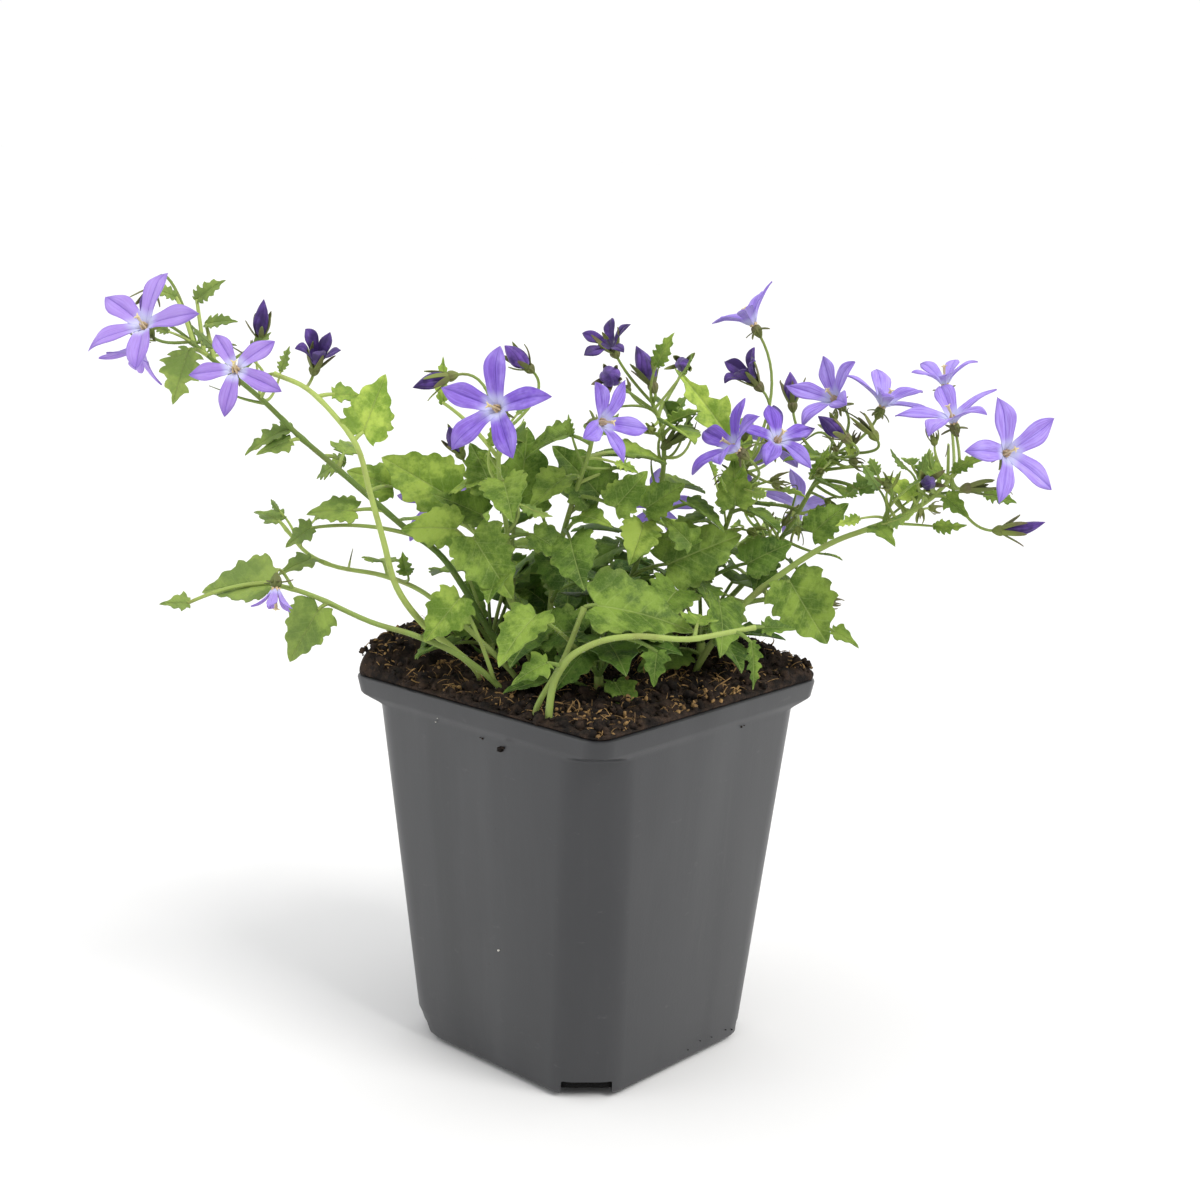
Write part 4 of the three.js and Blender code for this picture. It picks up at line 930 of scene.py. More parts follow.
def leaf_material():
    """Mottled green with a midrib, side veins and a fine net, paler below and duller at the plant's left."""
    n = Nodes("leaf")
    x, y = n.along()
    u = n.math("MULTIPLY_ADD", x, LEAF_UV_SPAN, -LEAF_UV_START)
    side = n.math("ABSOLUTE", n.math("SUBTRACT", y, 0.5))
    where = n.place()
    wobble = n.times(n.math("SUBTRACT", n.noise(where, 240, 2), 0.5), 0.09)
    lean = n.math("ADD", n.math("SUBTRACT", u, n.times(side, VEIN_LEAN)), wobble)
    wave = n.math("ABSOLUTE", n.math("SUBTRACT", n.math("FRACT", n.math("DIVIDE", lean, VEIN_STEP)), 0.5))
    side_vein = n.times(n.ramp(wave, 0.0, 0.1, 1, 0), n.ramp(side, 0.0, 0.3, 1, 0.25))
    midrib = n.ramp(side, 0.002, 0.016, 1, 0)
    net = n.ramp(n.cells(where, 1100, "DISTANCE_TO_EDGE"), 0.0, 0.1, 1, 0)
    vein = n.math("MAXIMUM", n.math("MAXIMUM", midrib, n.times(side_vein, 0.5)), n.times(net, 0.22))
    # The tone holds painted shade as well: inner and low leaves are darker.
    tone = n.value("tone")
    dark = n.mix(tone, (0.018, 0.054, 0.005), (0.17, 0.28, 0.035))
    light = n.mix(tone, (0.075, 0.16, 0.02), (0.44, 0.57, 0.1))
    patch = n.ramp(n.noise(where, 130, 5, 0.68), 0.4, 0.62)
    blotch = n.ramp(n.noise(where, 420, 4, 0.7), 0.5, 0.75)
    green = n.mix(patch, dark, light)
    green = n.tint(green, blotch, 0.3, (0.36, 0.46, 0.12))
    green = n.tint(green, vein, 0.42, (0.4, 0.5, 0.16))
    green = n.tint(green, n.ramp(side, 0.3, 0.44), 0.2, (0.3, 0.34, 0.08))
    green = n.tint(green, n.value("under"), 0.4, (0.2, 0.3, 0.11))
    green = n.mix(n.ramp(n.across(), -0.08, -0.05, 0.55, 0), green, (0.16, 0.21, 0.075))
    n.bump(n.math("ADD", n.times(vein, -1), n.times(blotch, 0.4)), 0.5, 0.0002)
    return n.finish(
        green, n.ramp(patch, 0, 1, 0.5, 0.66), Subsurface_Weight=0.08,
        Subsurface_Radius=(0.0012, 0.0018, 0.0004), Subsurface_Scale=1.0, Specular_IOR_Level=0.15)


def stem_material():
    """Pale green with brown patches and fine lengthwise grooves."""
    n = Nodes("stem")
    patch = n.ramp(n.noise(n.place(), 180, 3), 0.45, 0.75)
    green = n.mix(n.value("tone"), (0.09, 0.16, 0.025), (0.4, 0.5, 0.13))
    green = n.tint(green, patch, 0.4, (0.2, 0.17, 0.06))
    n.bump(n.noise(n.place((1, 1, 0.25)), 900, 3), 0.35, 0.0001)
    return n.finish(
        green, 0.55, Subsurface_Weight=0.08, Subsurface_Radius=(0.0008, 0.001, 0.0003), Subsurface_Scale=1.0,
        Specular_IOR_Level=0.25)


def calyx_material():
    """Green that turns to a brownish purple in patches and towards the tips."""
    n = Nodes("calyx")
    where = n.place()
    tip, _ = n.along()
    green = n.mix(n.value("tone"), (0.07, 0.1, 0.022), (0.26, 0.32, 0.07))
    brown = n.mix(n.noise(where, 300, 3), (0.09, 0.065, 0.05), (0.2, 0.17, 0.08))
    share = n.times(n.ramp(n.noise(where, 120, 2), 0.35, 0.65), n.ramp(tip, 0.1, 1, 0.4, 1))
    n.bump(n.noise(where, 1100, 3), 0.4, 0.0001)
    return n.finish(n.mix(share, green, brown), 0.6, Specular_IOR_Level=0.25)


def hair_material():
    n = Nodes("hair")
    return n.finish(n.mix(n.noise(n.place(), 200), (0.5, 0.55, 0.35), (0.7, 0.72, 0.58)), 0.5)


def petal_material():
    """Streaked lilac with a dark midline, rim and tip and a pale throat, pinker at the plant's left."""
    n = Nodes("petal")
    x, y = n.along()
    side = n.math("ABSOLUTE", n.math("MULTIPLY_ADD", y, 2, -1))
    tone = n.value("tone")
    lengthwise = n.node("ShaderNodeCombineXYZ")
    for socket, source, scale in zip(lengthwise.inputs, (x, y, tone), (2.2, 18, 37)):
        n.join(n.times(source, scale), socket)
    streak = n.noise(lengthwise.outputs[0], 1.0, 4, 0.6)
    lilac = n.mix(tone, (0.215, 0.11, 0.62), (0.42, 0.32, 0.84))
    deep = n.mix(tone, (0.125, 0.05, 0.42), (0.29, 0.18, 0.64))
    colour = n.mix(n.ramp(streak, 0.36, 0.64), deep, lilac)
    cloud = n.ramp(n.noise(n.place(), 150, 3, 0.6), 0.42, 0.66)
    colour = n.tint(colour, cloud, 0.4, (0.46, 0.38, 0.85))
    colour = n.mix(n.ramp(n.across(), -0.08, -0.01, 0.55, 0), colour, (0.34, 0.21, 0.56))
    colour = n.tint(colour, n.ramp(side, 0.0, 0.07, 1, 0), 0.45, (0.14, 0.07, 0.42))
    colour = n.tint(colour, n.ramp(side, 0.8, 1.0), 0.4, (0.13, 0.07, 0.42))
    colour = n.mix(n.ramp(x, 0.7, 1.0, 0, 0.55), colour, (0.13, 0.06, 0.4))
    throat = n.math("ADD", x, n.times(n.math("SUBTRACT", streak, 0.5), 0.22))
    colour = n.mix(n.ramp(throat, 0.06, 0.28, 0.8, 0), colour, (0.6, 0.64, 0.9))
    colour = n.tint(colour, n.value("under"), 0.3, (0.4, 0.34, 0.74))
    n.bump(streak, 0.35, 0.00012)
    return n.finish(
        colour, 0.55, Subsurface_Weight=0.12, Subsurface_Radius=(0.0012, 0.001, 0.002), Subsurface_Scale=1.0,
        Sheen_Weight=0.08, Specular_IOR_Level=0.25)


def bud_material():
    """Dark violet, darkest in the folds and greyer at the foot."""
    n = Nodes("bud")
    x, y = n.along()
    where = n.place()
    tone = n.value("tone")
    deep = n.mix(tone, (0.025, 0.01, 0.075), (0.07, 0.032, 0.2))
    light = n.mix(tone, (0.075, 0.035, 0.21), (0.19, 0.09, 0.46))
    colour = n.mix(n.ramp(n.noise(where, 260, 3), 0.38, 0.68), deep, light)
    fold = n.ramp(n.math("ABSOLUTE", n.math("SINE", n.times(y, 5 * math.pi))), 0, 0.35, 1, 0)
    colour = n.tint(colour, fold, 0.4, (0.02, 0.012, 0.05))
    colour = n.mix(n.ramp(x, 0.0, 0.2, 0.4, 0), colour, (0.3, 0.26, 0.42))
    n.bump(n.noise(where, 900, 3), 0.4, 0.0001)
    return n.finish(colour, 0.5, Sheen_Weight=0.12, Specular_IOR_Level=0.25)


def style_material(name, low, high, roughness):
    n = Nodes(name)
    where = n.place()
    n.bump(n.noise(where, 2000, 3), 0.4, 0.0001)
    return n.finish(n.mix(n.noise(where, 500, 3), low, high), roughness)


def soil_material():
    """Near black peat with tan specks. Fibres, and the light flecks, have the highest tones."""
    n = Nodes("peat")
    where = n.place()
    tone = n.value("tone")
    coarse = n.noise(where, 260, 6, 0.7)
    colour = n.mix(n.ramp(coarse, 0.38, 0.66), (0.006, 0.004, 0.003), (0.046, 0.028, 0.018))
    specks = n.times(n.ramp(n.cells(where, 900), 0.0, 0.22, 1, 0), n.ramp(n.noise(where, 120, 2), 0.5, 0.62))
    colour = n.tint(colour, specks, 0.6, (0.22, 0.125, 0.055))
    colour = n.mix(n.ramp(tone, 0.55, 0.95), colour, (0.37, 0.225, 0.09))
    colour = n.mix(n.ramp(tone, 1.4, 2), colour, (0.75, 0.73, 0.66))
    # Painted shade: the peat below about 8 to 20 mm turns near black, as the shade inside the notches at the
    # pot's foot.
    colour = n.mix(n.ramp(n.parts(where)[2], 0.008, 0.02, 1, 0), colour, (0.002, 0.002, 0.002))
    n.bump(n.math("ADD", coarse, n.noise(where, 1400, 4)), 0.9, 0.0005)
    return n.finish(colour, 0.9, Specular_IOR_Level=0.25)


def pot_material():
    """Dark grey plastic: upright streaks and bands, painted shade on the front corner and painted light
    towards the side corners, a darker rim, dust and scuffs.
    """
    n = Nodes("pot_plastic")
    where = n.place()
    streak = n.noise(n.place((1, 1, 0.05)), 420, 4, 0.65)
    band = n.noise(n.place((1, 1, 0.12)), 55, 3, 0.5)
    cloud = n.noise(where, 28, 4, 0.6)
    colour = n.mix(n.ramp(cloud, 0.3, 0.7), (0.037, 0.038, 0.041), (0.05, 0.051, 0.054))
    colour = n.tint(colour, n.ramp(streak, 0.5, 0.8), 0.22, (0.075, 0.076, 0.078))
    colour = n.mix(n.ramp(band, 0.5, 0.68, 0, 0.5), colour, (0.062, 0.064, 0.067))
    colour = n.mix(n.ramp(band, 0.34, 0.48, 0.4, 0), colour, (0.028, 0.029, 0.031))
    x, y, z = n.parts(where)
    corner = n.math("SUBTRACT", x, y)
    # Painted shade: darker towards the corner that faces the viewer, where x is well above y.
    colour = n.mix(n.ramp(corner, 0.03, 0.072, 0, 0.72), colour, (0.027, 0.028, 0.031))
    # Painted light: lighter towards the side corners, where x is at or below y.
    colour = n.mix(n.ramp(corner, 0.0, 0.03, 0.45, 0), colour, (0.07, 0.071, 0.073))
    colour = n.mix(n.ramp(z, 0.094, 0.0958, 0, 0.32), colour, (0.02, 0.02, 0.022))
    dust = n.times(n.ramp(n.cells(where, 330), 0.0, 0.09, 1, 0), n.ramp(n.noise(where, 60, 2), 0.56, 0.62))
    colour = n.tint(colour, dust, 0.8, (0.02, 0.017, 0.015))
    scuff = n.ramp(n.noise(n.place((0.4, 0.4, 1)), 300, 5, 0.7), 0.62, 0.72)
    colour = n.tint(colour, scuff, 0.25, (0.1, 0.1, 0.1))
    n.bump(n.math("ADD", n.times(streak, 0.5), n.noise(where, 1800, 2)), 0.25, 0.0001)
    return n.finish(colour, n.ramp(cloud, 0.3, 0.7, 0.34, 0.48))


# Pot
def body_width(z):
    return BODY_BASE_WIDTH + (BODY_TOP_WIDTH - BODY_BASE_WIDTH) * z / BODY_TOP


def circle(radius, sides):
    angles = [2 * math.pi * i / sides for i in range(sides)]
    return [(radius * math.cos(a), radius * math.sin(a)) for a in angles]


def four_corners(corner):
    """An outline made of the points of one corner, turned to all four."""
    ring = []
    for k in range(4):
        c, s = math.cos(k * math.pi / 2), math.sin(k * math.pi / 2)
        ring += [(x * c - y * s, x * s + y * c) for x, y in corner]
    return np.array(ring)


def cut_ring(width, cut, soft):
    """A square outline of a width whose corners are cut; each end of a cut is rounded by soft."""
    half = width / 2
    first, second = np.array([half, half - cut]), np.array([half - cut, half])
    middle = unit(second - first)
    return four_corners([
        *bezier(first - [0, soft], first, first + middle * soft, CORNER_STEPS),
        *bezier(second - middle * soft, second, second - [soft, 0], CORNER_STEPS)])


def round_ring(width, radius):
    """A square outline with round corners and as many points as a cut outline."""
    centre = width / 2 - radius
    steps = 2 * CORNER_STEPS + 1
    angles = [math.radians(90 * i / steps) for i in range(steps + 1)]
    return four_corners([(centre + radius * math.cos(a), centre + radius * math.sin(a)) for a in angles])


def pot_rings():
    """The pot's outlines with their heights: up the outside, over the lip and down the inside."""
    rings = []
    for share in np.linspace(0, 1, 5)[:-1]:
        z = FOOT_RADIUS * (1 - math.cos(share * math.pi / 2))
        inset = FOOT_RADIUS * (1 - math.sin(share * math.pi / 2))
        rings.append((cut_ring(body_width(z) - 2 * inset, CORNER_CUT, EDGE_SOFTNESS), z))
    for z in (*np.linspace(FOOT_RADIUS, WORN_HEIGHT, 8), *np.linspace(14, LEDGE_START, 13)):
        rings.append((cut_ring(body_width(z), CORNER_CUT, EDGE_SOFTNESS), z))
    band, outer, inner = POT_HEIGHT - RIM_BAND, RIM_RADIUS + RIM_SOFTNESS, RIM_WIDTH - 2 * LIP_WIDTH
    wall, lip = rings[-1][0], round_ring(RIM_WIDTH - RIM_TAPER, outer)
    for share in (0.15, 0.35, 0.6, 0.82, 0.96):
        blend = 0.5 - 0.5 * math.cos(math.pi * share)
        rings.append((wall + (lip - wall) * blend, LEDGE_START + (band - LEDGE_START) * share ** 0.8))
    rim = [
        (RIM_WIDTH - RIM_TAPER, outer, band), (RIM_WIDTH - 0.2, outer, POT_HEIGHT - 0.7),
        (RIM_WIDTH - 0.35, outer, POT_HEIGHT - 0.25), (RIM_WIDTH - 1.0, outer, POT_HEIGHT),
        (inner + 0.5, RIM_RADIUS, POT_HEIGHT), (inner, RIM_RADIUS, POT_HEIGHT - 0.3),
        (inner - 0.2, RIM_RADIUS, POT_HEIGHT - 3)]
    rings += [(round_ring(width, radius), z) for width, radius, z in rim]
    for z in (BODY_TOP - 1, *np.linspace(BODY_TOP - 10, FLOOR, 6)):
        rings.append((cut_ring(body_width(z) - 2 * WALL, INNER_CUT, CORNER_SOFTNESS), z))
    return rings


def stacked(rings):
    return [(x, y, z) for ring, z in rings for x, y in ring]


def notch_points():
    """A low arch with round upper corners, as a block along x."""
    half, height, soft = NOTCH_WIDTH / 2, NOTCH_HEIGHT, NOTCH_SOFTNESS
    near = soft * 0.3
    right = [(half, -1), (half, height - soft), (half - near, height - near), (half - soft, height)]
    outline = [(-half, -1)] + right + [(-y, z) for y, z in right[:0:-1]]
    return [(x, y, z) for x in (-NOTCH_DEPTH, 2) for y, z in outline]


def drain_points():
    return [(x, y, z) for z in (-1, FLOOR + 1) for x, y in circle(DRAIN_RADIUS, DRAIN_SIDES)]


def carve(piece, points, angle, reach):
    """Cut the block between two like outlines out of a piece, turned by an angle and moved out by reach."""
    c, s = math.cos(angle), math.sin(angle)
    placed = [((x + reach) * c - y * s, (x + reach) * s + y * c, z) for x, y, z in points]
    half = len(points) // 2
    faces = [tuple(range(half))[::-1], tuple(range(half, 2 * half)), *grid_faces(2, half, closed=True)]
    mesh = bpy.data.meshes.new("cutter")
    mesh.from_pydata([(x * MM, y * MM, z * MM) for x, y, z in placed], [], faces)
    shape = bmesh.new()
    shape.from_mesh(mesh)
    bmesh.ops.recalc_face_normals(shape, faces=shape.faces)
    shape.to_mesh(mesh)
    shape.free()
    cutter = linked("cutter", mesh)
    cut = piece.modifiers.new("cut", "BOOLEAN")
    cut.operation, cut.solver, cut.object = "DIFFERENCE", "EXACT", cutter
    bpy.context.view_layer.update()
    result = bpy.data.meshes.new_from_object(piece.evaluated_get(bpy.context.evaluated_depsgraph_get()))
    piece.modifiers.clear()
    piece.data = result
    bpy.data.objects.remove(cutter)


def wear(piece):
    """Move the lowest part of the worn corner in."""
    reach = (BODY_BASE_WIDTH - CORNER_CUT) / math.sqrt(2)
    for vertex in piece.data.vertices:
        x, y, z = [value / MM for value in vertex.co]
        out = x * math.cos(WORN_CORNER) + y * math.sin(WORN_CORNER)
        near = min(1, max(0, (out - WORN_START * reach) / (WORN_SPREAD * reach)))
        push = WORN_DEPTH * MM * near * max(0, 1 - z / WORN_HEIGHT) ** 0.8
        vertex.co.x -= push * math.cos(WORN_CORNER)
        vertex.co.y -= push * math.sin(WORN_CORNER)


def make_pot():
    rings = pot_rings()
    body = Body()
    body.add(stacked(rings), closed_faces(len(rings), len(rings[0][0])))
    piece = body.make("pot_fine", [pot_material()], turn=0, crease=POT_CREASE)
    reach = BODY_BASE_WIDTH / 2 * math.sqrt(2) - CORNER_CUT / math.sqrt(2)
    for k in range(4):
        angle = math.radians(45 + 90 * k)
        carve(piece, notch_points(), angle, reach)
        carve(piece, drain_points(), angle, DRAIN_REACH)
    wear(piece)
    shape = bmesh.new()
    shape.from_mesh(piece.data)
    soften(shape, POT_CREASE)
    shape.to_mesh(piece.data)
    shape.free()
    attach(piece, "root")
    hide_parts("pot")


# Soil
def soil_top(x, y, share):
    """Height of the soil in the pot's own frame; share is 0 in the middle and 1 at the edge."""
    across, away = x * TURN_COS + y * TURN_SIN, -x * TURN_SIN + y * TURN_COS
    heaps = sum(high * math.exp(-((across - hx) ** 2 + (away - hy) ** 2) / (2 * wide ** 2))
                for hx, hy, high, wide in SOIL_HEAPS)
    waves = math.sin(0.9 * across + 1.3) * math.cos(0.75 * away) + math.sin(0.55 * across - 0.8 * away)
    rolled = math.sqrt(max(0, 1 - share ** SOIL_ROLL))
    dome = SOIL_LIFT + SOIL_DOME * (1 - share ** 2) + heaps + SOIL_RIPPLE * waves
    return RIM_TOP + SOIL_STEP + dome * rolled


def top_at(x, y):
    return soil_top(x, y, min(1, max(abs(x), abs(y)) / (SOIL_WIDTH / 2)))


def roughness_at(x, y, scale, layer):
    return noise.noise(Vector((x * scale, y * scale, layer)))


def resampled(ring):
    """The outline again with the soil's evenly spaced points, starting on the x axis."""
    angles = np.arctan2(ring[:, 1], ring[:, 0]) % (2 * math.pi)
    order = np.argsort(angles)
    angles, ring = angles[order], ring[order]
    even = np.linspace(0, 2 * math.pi, 2880, endpoint=False)
    dense = np.stack([np.interp(even, angles, ring[:, k], period=2 * math.pi) for k in (0, 1)], 1)
    steps = np.linalg.norm(np.roll(dense, -1, 0) - dense, axis=1)
    place = np.concatenate([[0], np.cumsum(steps)])
    even = np.linspace(0, place[-1], SOIL_SIDES, endpoint=False)
    closed = np.concatenate([dense, dense[:1]])
    return np.stack([np.interp(even, place, closed[:, k]) for k in (0, 1)], 1)


def soil_shape():
    """Points and faces of the peat: the sides up to the rim, the rough top row by row, and its middle."""
    rings = []
    for z in (SOIL_BASE, 50, BODY_TOP):
        width = body_width(z) - 2 * WALL - 2 * GAP
        rings.append((resampled(cut_ring(width, INNER_CUT, CORNER_SOFTNESS)), z))
    for width in (86, 88.2):
        rings.append((resampled(round_ring(width, RIM_RADIUS)), RIM_TOP))
    points = stacked(rings)
    edge = resampled(round_ring(SOIL_WIDTH, RIM_RADIUS))
    for share in np.sin(np.linspace(math.pi / 2 * 0.985, 0.0, SOIL_ROWS + 1))[:-1]:
        for x, y in edge * share:
            rough = noise.fractal(Vector((x * 0.35, y * 0.35, 3.1)), 0.9, 2.2, 5)
            clod = roughness_at(x, y, 0.16, 8) * 0.7
            fade = min(1, (1 - share) * 14 + 0.25)
            push = 1 + 0.006 * roughness_at(x, y, 0.5, 1.7)
            z = soil_top(x, y, share) + fade * (0.9 * rough + clod)
            points.append((x * push, y * push, max(RIM_TOP + 0.05, z)))
    points.append((0, 0, soil_top(0, 0, 0)))
    rows = len(rings) + SOIL_ROWS
    last = (rows - 1) * SOIL_SIDES
    faces = grid_faces(rows, SOIL_SIDES, closed=True)
    faces += [(last + c, last + (c + 1) % SOIL_SIDES, len(points) - 1) for c in range(SOIL_SIDES)]
    faces.append(tuple(range(SOIL_SIDES))[::-1])
    return points, faces


def crumb_shape():
    """Points and faces of one crumb: the hull of a cube's corners and a point in front of each side."""
    shape = bmesh.new()
    for axis in range(3):
        for sign in (-1, 1):
            shape.verts.new([sign * (axis == k) for k in range(3)])
    for c in (0.6, -0.6):
        for b in (0.6, -0.6):
            for a in (0.6, -0.6):
                shape.verts.new((a, b, c))
    bmesh.ops.convex_hull(shape, input=shape.verts)
    shape.verts.ensure_lookup_table()
    shape.faces.ensure_lookup_table()
    points = np.array([v.co for v in shape.verts])
    faces = [tuple(v.index for v in face.verts) for face in shape.faces]
    shape.free()
    return points, faces


def add_crumbs(body, corners, faces, rng):
    """Loose crumbs, and a few tan ones in patches."""
    for _ in range(CRUMBS):
        x, y = rng.uniform(-CRUMB_REACH, CRUMB_REACH, 2)
        size = rng.choice(CRUMB_SIZES, p=CRUMB_ODDS) * rng.uniform(0.8, 1.25)
        z = top_at(x, y) + rng.uniform(-0.4, 0.6) * size
        warp = rng.uniform(0.6, 1.15, (len(corners), 1)) * size
        turn = np.array(Matrix.Rotation(rng.uniform(0, 6.28), 3, Vector(rng.normal(size=3))))
        stretch = rng.uniform(0.55, 1.3, 3)
        points = (corners * warp * stretch) @ turn.T + [x, y, max(z, RIM_TOP + 0.3 + size * 0.4)]
        tan = size < 0.9 and roughness_at(x, y, 0.11, 4.2) > rng.uniform(-0.1, 0.5)
        body.add(points, faces, tone=rng.uniform(0.65, 1.1) if tan else rng.uniform(0, 0.6))


def add_fibres(body, rng):
    """Bent golden fibres, in the same patches as the tan crumbs."""
    for _ in range(FIBRES):
        x, y = rng.uniform(-FIBRE_REACH, FIBRE_REACH, 2)
        if roughness_at(x, y, 0.11, 4.2) < rng.uniform(-0.5, 0.4):
            continue
        ahead = direction(rng.uniform(0, 360), rng.uniform(-10, 40))
        length = rng.uniform(0.8, 4.5)
        start = np.array([x, y, top_at(x, y) + 0.1])
        end = start + ahead * length
        if max(abs(end[0]), abs(end[1])) > FIBRE_LIMIT:
            continue
        end[2] = max(end[2], top_at(end[0], end[1]) + 0.1)
        bend = (start + end) / 2 + np.append(rng.uniform(-1, 1, 2) * length * 0.45, rng.uniform(0, 1.2))
        radius = rng.uniform(0.06, 0.2)
        thin = radius * rng.uniform(0.5, 1.5, 7) * np.array([0.6, 1, 1, 1, 1, 0.7, 0.3])
        body.add_tube(bezier(start, bend, end, 6), thin, 3, 0, rng.uniform(0.6, 1.1))


def make_soil():
    rng = np.random.default_rng(11)
    corners, faces = crumb_shape()
    body = Body()
    body.add(*soil_shape(), tone=0)
    add_crumbs(body, corners, faces, rng)
    add_fibres(body, rng)
    for x, y, z, size, tone in STUCK:
        stretch = [rng.uniform(0.8, 1.5), rng.uniform(0.8, 1.5), rng.uniform(0.5, 1.2)]
        body.add(corners * size * stretch + [x, y, z], faces, tone=tone)
    piece = body.make("soil_fine", [soil_material()], turn=0, crease=SOIL_CREASE)
    wear(piece)
    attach(piece, "root")
    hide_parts("soil")


# Plant
def leaf_tone_and_shade(rng, base):
    """Painted shade: leaves near the middle and the soil are darker than the outer and upper ones; a random
    part is added.
    """
    away = base - PLANT_CENTRE
    raised = 0.04 + 0.5 * (base[2] - 110) / 75 + 0.42 * math.hypot(away[0], away[1]) / 80
    return float(np.clip(raised + rng.normal(0, 0.16), 0, 1))


def spread_rows(route, count, first, last, stalks, rises, lengths, seed):
    """The leaves round a route: (start, base, blade row) each."""
    source = stream(seed)
    rows = []
    for i in range(count):
        place = first + (last - first) * (i + 0.5) / count
        azimuth = GOLDEN_ANGLE * i + SPREAD_WANDER * next(source) + SPREAD_START * seed
        ranges = (rises, stalks, lengths, SPREAD_PITCH, SPREAD_FACE)
        rise, stalk, length, pitch, face_rise = [low + (high - low) * next(source) for low, high in ranges]
        start = route.at(place)
        base = start + direction(azimuth, rise) * stalk
        away = base - PLANT_CENTRE
        face = math.degrees(math.atan2(away[1], away[0]))
        rows.append((start, base, [azimuth, length, pitch, face, face_rise]))
    return rows


def add_stem(body, stem, route, tone, rng):
    """The stem itself, with a swelling at each leaf and bloom."""
    length = np.linalg.norm(np.diff(route.line(40), axis=0), axis=1).sum()
    steps = max(8, int(length / STEM_STEP))
    line = route.line(steps)
    shares = np.linspace(0, 1, steps + 1)
    first, last = stem["radius"]
    radii = STEM_SLIM * (first + (last - first) * shares)
    for place in [row[0] for row in stem.get("leaves", [])] + [row[1] for row in stem.get("blooms", [])]:
        radii = radii + NODE_SWELL * np.exp(-((shares - place) * length / NODE_LENGTH) ** 2)
    tones = np.repeat(np.clip(tone - 0.15 + 0.3 * shares, 0, 1), STEM_SIDES)
    body.add_tube(line, radii, STEM_SIDES, STEM, tones, mapped=True)
    add_hairs(body, line[2:], radii[2:], rng, HAIRS_PER_MM)


def add_leaves(body, stem, route, rng):
    name = stem["name"]
    for place, azimuth, rise, stalk, *blade_row in stem.get("leaves", []):
        start = route.at(place)
        base = start + direction(azimuth, rise) * stalk
        stalked_leaf(body, start, base, [azimuth, *blade_row], rng, leaf_tone_and_shade(rng, base))
    placed = stem.get("placed", []) + EXTRA_LEAVES.get(name, [])
    for i, (place, x, y, z, *blade_row) in enumerate(placed):
        base = np.array([x, y, z], float)
        tone = LEAF_TONES.get((name, i), leaf_tone_and_shade(rng, base))
        stalked_leaf(body, route.at(place), base, blade_row, rng, tone)
    if name in SHOOTS:
        add_shoots(body, route, *SHOOTS[name], rng)
    # Leaves deep in the plant keep 0.6 of their tone, as painted shade.
    for spread, shade in ((INNER_LEAVES.get(name), 0.6), (stem.get("spread"), 1)):
        for start, base, row in spread_rows(route, *spread) if spread else []:
            stalked_leaf(body, start, base, row, rng, shade * leaf_tone_and_shade(rng, base))


def add_cups(body, stem, route, tone, rng):
    """The calyx under each bloom and bud and where a flower was, each on its own fine stalk."""
    cups = [(row[1:7] + [row[9]], OPEN_SEPALS, CUP_CLEAR) for row in stem.get("blooms", [])]
    cups += [(row[1:7] + [0], BUD_SEPALS, BUD_CUP_CLEAR) for row in stem.get("buds", [])]
    cups += [(row + [0], SPENT_SEPALS, BUD_CUP_CLEAR) for row in stem.get("spent", [])]
    for (place, x, y, z, azimuth, elevation, spin), sepals, clear in cups:
        centre = np.array([x, y, z], float)
        frame_axes = axes(azimuth, elevation, spin)
        calyx(body, centre, frame_axes, sepals, clear, rng, rng.uniform(0.2, 0.9))
        if sepals is SPENT_SEPALS:
            spent_style(body, centre, frame_axes, rng)
        start = route.at(place)
        end = centre + frame_axes[0] * (PEDICEL_SUNK - CUP_DEPTH)
        bend = end - frame_axes[0] * PEDICEL_BEND * np.linalg.norm(end - start)
        path = bezier(start, bend, end, 12)
        radii = np.linspace(1.15, 0.95, 13) * PEDICEL_RADIUS
        body.add_tube(path, radii, 7, STEM, 0.6 * tone + 0.2, mapped=True)
        add_hairs(body, path[1:-1], radii[1:-1], rng, HAIRS_PER_MM)


def make_stem(stem, index, materials):
    rng = np.random.default_rng(100 + index)
    body = Body()
    route = Route(stem["route"])
    tone = STEM_TONES.get(stem["name"], 0.4)
    add_stem(body, stem, route, tone, rng)
    add_leaves(body, stem, route, rng)
    add_cups(body, stem, route, tone, rng)
    piece = body.make(stem["name"] + "_fine", materials)
    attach(piece, "root")
    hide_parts(stem["name"])


def make_bloom(row, index, materials):
    rng = np.random.default_rng(500 + index)
    name, _, x, y, z, azimuth, elevation, length, opening, spin = row
    frame_axes = axes(azimuth, elevation, spin)
    centre = np.array([x, y, z], float) + frame_axes[0] * GAP
    usual = 0.45 + (abs(x + 10) - 40) / 90 + rng.uniform(-0.15, 0.15)
    tone = BLOOM_TONES.get(name, float(np.clip(usual, 0.1, 0.95)))
    body = Body()
    corolla(body, centre, frame_axes, length, opening, rng, tone)
    style(body, centre, frame_axes, rng)
    piece = body.make(name + "_fine", materials)
    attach(piece, "root")
    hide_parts(name)


def make_bud(row, index, material):
    rng = np.random.default_rng(900 + index)
    name, _, x, y, z, azimuth, elevation, length = row
    centre = np.array([x, y, z], float)
    frame_axes = axes(azimuth, elevation, 0)
    body = Body()
    if name in OPENING_BUDS:
        seat, petal_axes = centre + frame_axes[0] * GAP, axes(azimuth, elevation, 20)
        corolla(body, seat, petal_axes, 0.95 * length, OPENING_BUDS[name], rng, 0.25, wild=1.6)
    else:
        bud(body, centre, frame_axes, length, rng, rng.uniform(0.1, 0.8), *BUD_SHAPES.get(name, ()))
    piece = body.make(name + "_fine", [material])
    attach(piece, "root")
    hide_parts(name)


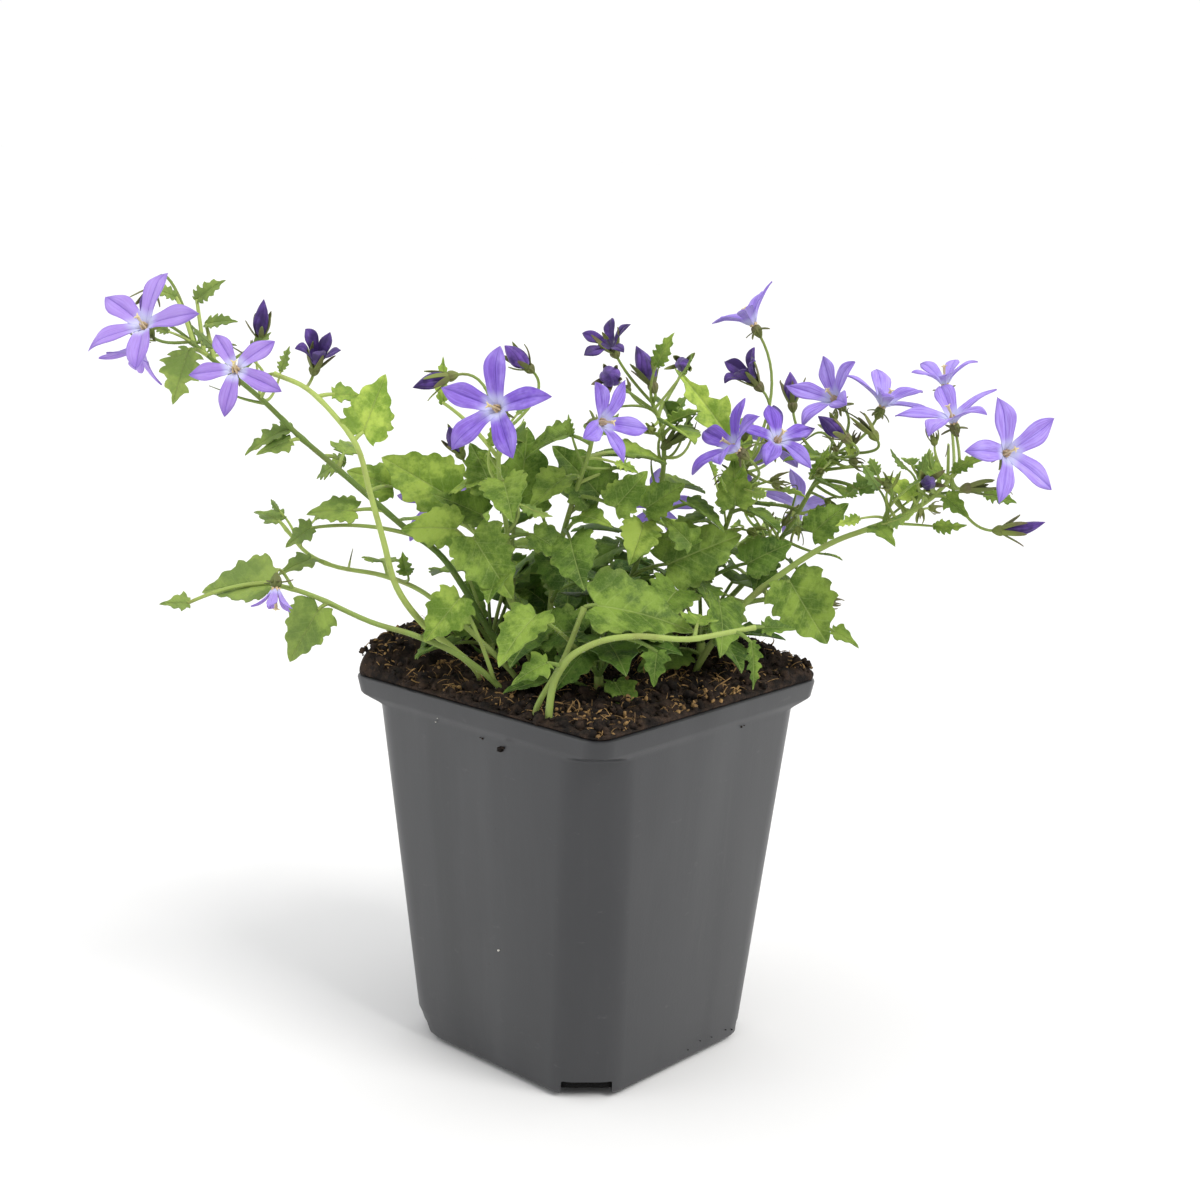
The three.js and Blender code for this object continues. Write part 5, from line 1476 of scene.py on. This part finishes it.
def make_plant():
    green = [leaf_material(), stem_material(), calyx_material(), hair_material()]
    flower = [
        petal_material(), style_material("style", (0.62, 0.5, 0.22), (0.8, 0.7, 0.4), 0.5),
        style_material("stamen", (0.5, 0.34, 0.16), (0.75, 0.6, 0.35), 0.6)]
    closed = bud_material()
    bloom_count, bud_count = 0, 0
    for index, stem in enumerate(STEMS):
        make_stem(stem, index, green)
        for row in stem.get("blooms", []):
            make_bloom(row, bloom_count, flower)
            bloom_count += 1
        for row in stem.get("buds", []):
            make_bud(row, bud_count, closed)
            bud_count += 1


# Studio
def turned_place(x, y, z):
    return Vector(((x * TURN_COS - y * TURN_SIN) * MM, (x * TURN_SIN + y * TURN_COS) * MM, z * MM))


def make_camera():
    lens = bpy.data.cameras.new("camera")
    lens.lens = CAMERA_FOCAL
    lens.sensor_width = SENSOR
    lens.sensor_height = SENSOR
    lens.clip_start = 0.02
    camera = linked("camera", lens)
    camera.location = turned_place(*CAMERA_PLACE)
    level = Matrix.Rotation(math.pi / 2 - CAMERA_PITCH, 3, "X")
    roll = Matrix.Rotation(CAMERA_ROLL, 3, "Z")
    heading = Matrix.Rotation(PLANT_TURN, 3, "Z")
    camera.rotation_euler = (heading @ level @ roll).to_euler()
    bpy.context.scene.camera = camera


def make_light(kind, name, place, target, strength, colour, **values):
    lamp = bpy.data.lights.new(name, kind)
    lamp.energy = strength
    lamp.color = colour
    for key, value in values.items():
        setattr(lamp, key, value)
    light = linked(name, lamp)
    light.location = turned_place(*place)
    light.rotation_euler = (turned_place(*target) - light.location).to_track_quat("-Z", "Y").to_euler()


def make_floor():
    points = [(x, y, FLOOR_HEIGHT) for x, y in circle(FLOOR_RADIUS, FLOOR_SIDES)]
    mesh = bpy.data.meshes.new("floor")
    mesh.from_pydata(points, [], [tuple(range(FLOOR_SIDES))])
    mesh.materials.append(Nodes("floor").finish((0.79, 0.79, 0.79), 0.9))
    floor = linked("floor", mesh)


def light_room(tree):
    """White all round, and dimmer on the side that the viewer stands on."""
    where = tree.nodes.new("ShaderNodeTexCoord")
    toward = tree.nodes.new("ShaderNodeVectorMath")
    toward.operation = "DOT_PRODUCT"
    tree.links.new(where.outputs["Generated"], toward.inputs[0])
    toward.inputs[1].default_value = (TURN_SIN, -TURN_COS, 0)
    fade = tree.nodes.new("ShaderNodeMapRange")
    fade.interpolation_type = "SMOOTHSTEP"
    tree.links.new(toward.outputs["Value"], fade.inputs["Value"])
    for label, number in (("From Min", 0.1), ("From Max", 0.95), ("To Min", 1.01), ("To Max", 0.4)):
        fade.inputs[label].default_value = number
    back = tree.nodes["Background"]
    back.inputs["Color"].default_value = (1, 1, 1, 1)
    tree.links.new(fade.outputs["Result"], back.inputs["Strength"])


def make_studio():
    make_floor()
    make_camera()
    make_light("SUN", "key", (380, -300, 620), (0, 0, 100), 1.9, (1, 0.985, 0.96), angle=math.radians(26))
    make_light("SUN", "top", (-150, -80, 700), (0, 0, 100), 0.35, (1, 1, 1), angle=math.radians(60))
    make_light("AREA", "left", (-520, -260, 240), (0, 0, 70), 0.6, (0.96, 0.98, 1), shape="DISK", size=0.4)
    world = bpy.data.worlds.new("world")
    world.use_nodes = True
    light_room(world.node_tree)
    bpy.context.scene.world = world
    bpy.context.scene.view_settings.view_transform = "Standard"


make_pot()
make_soil()
make_plant()
make_studio()
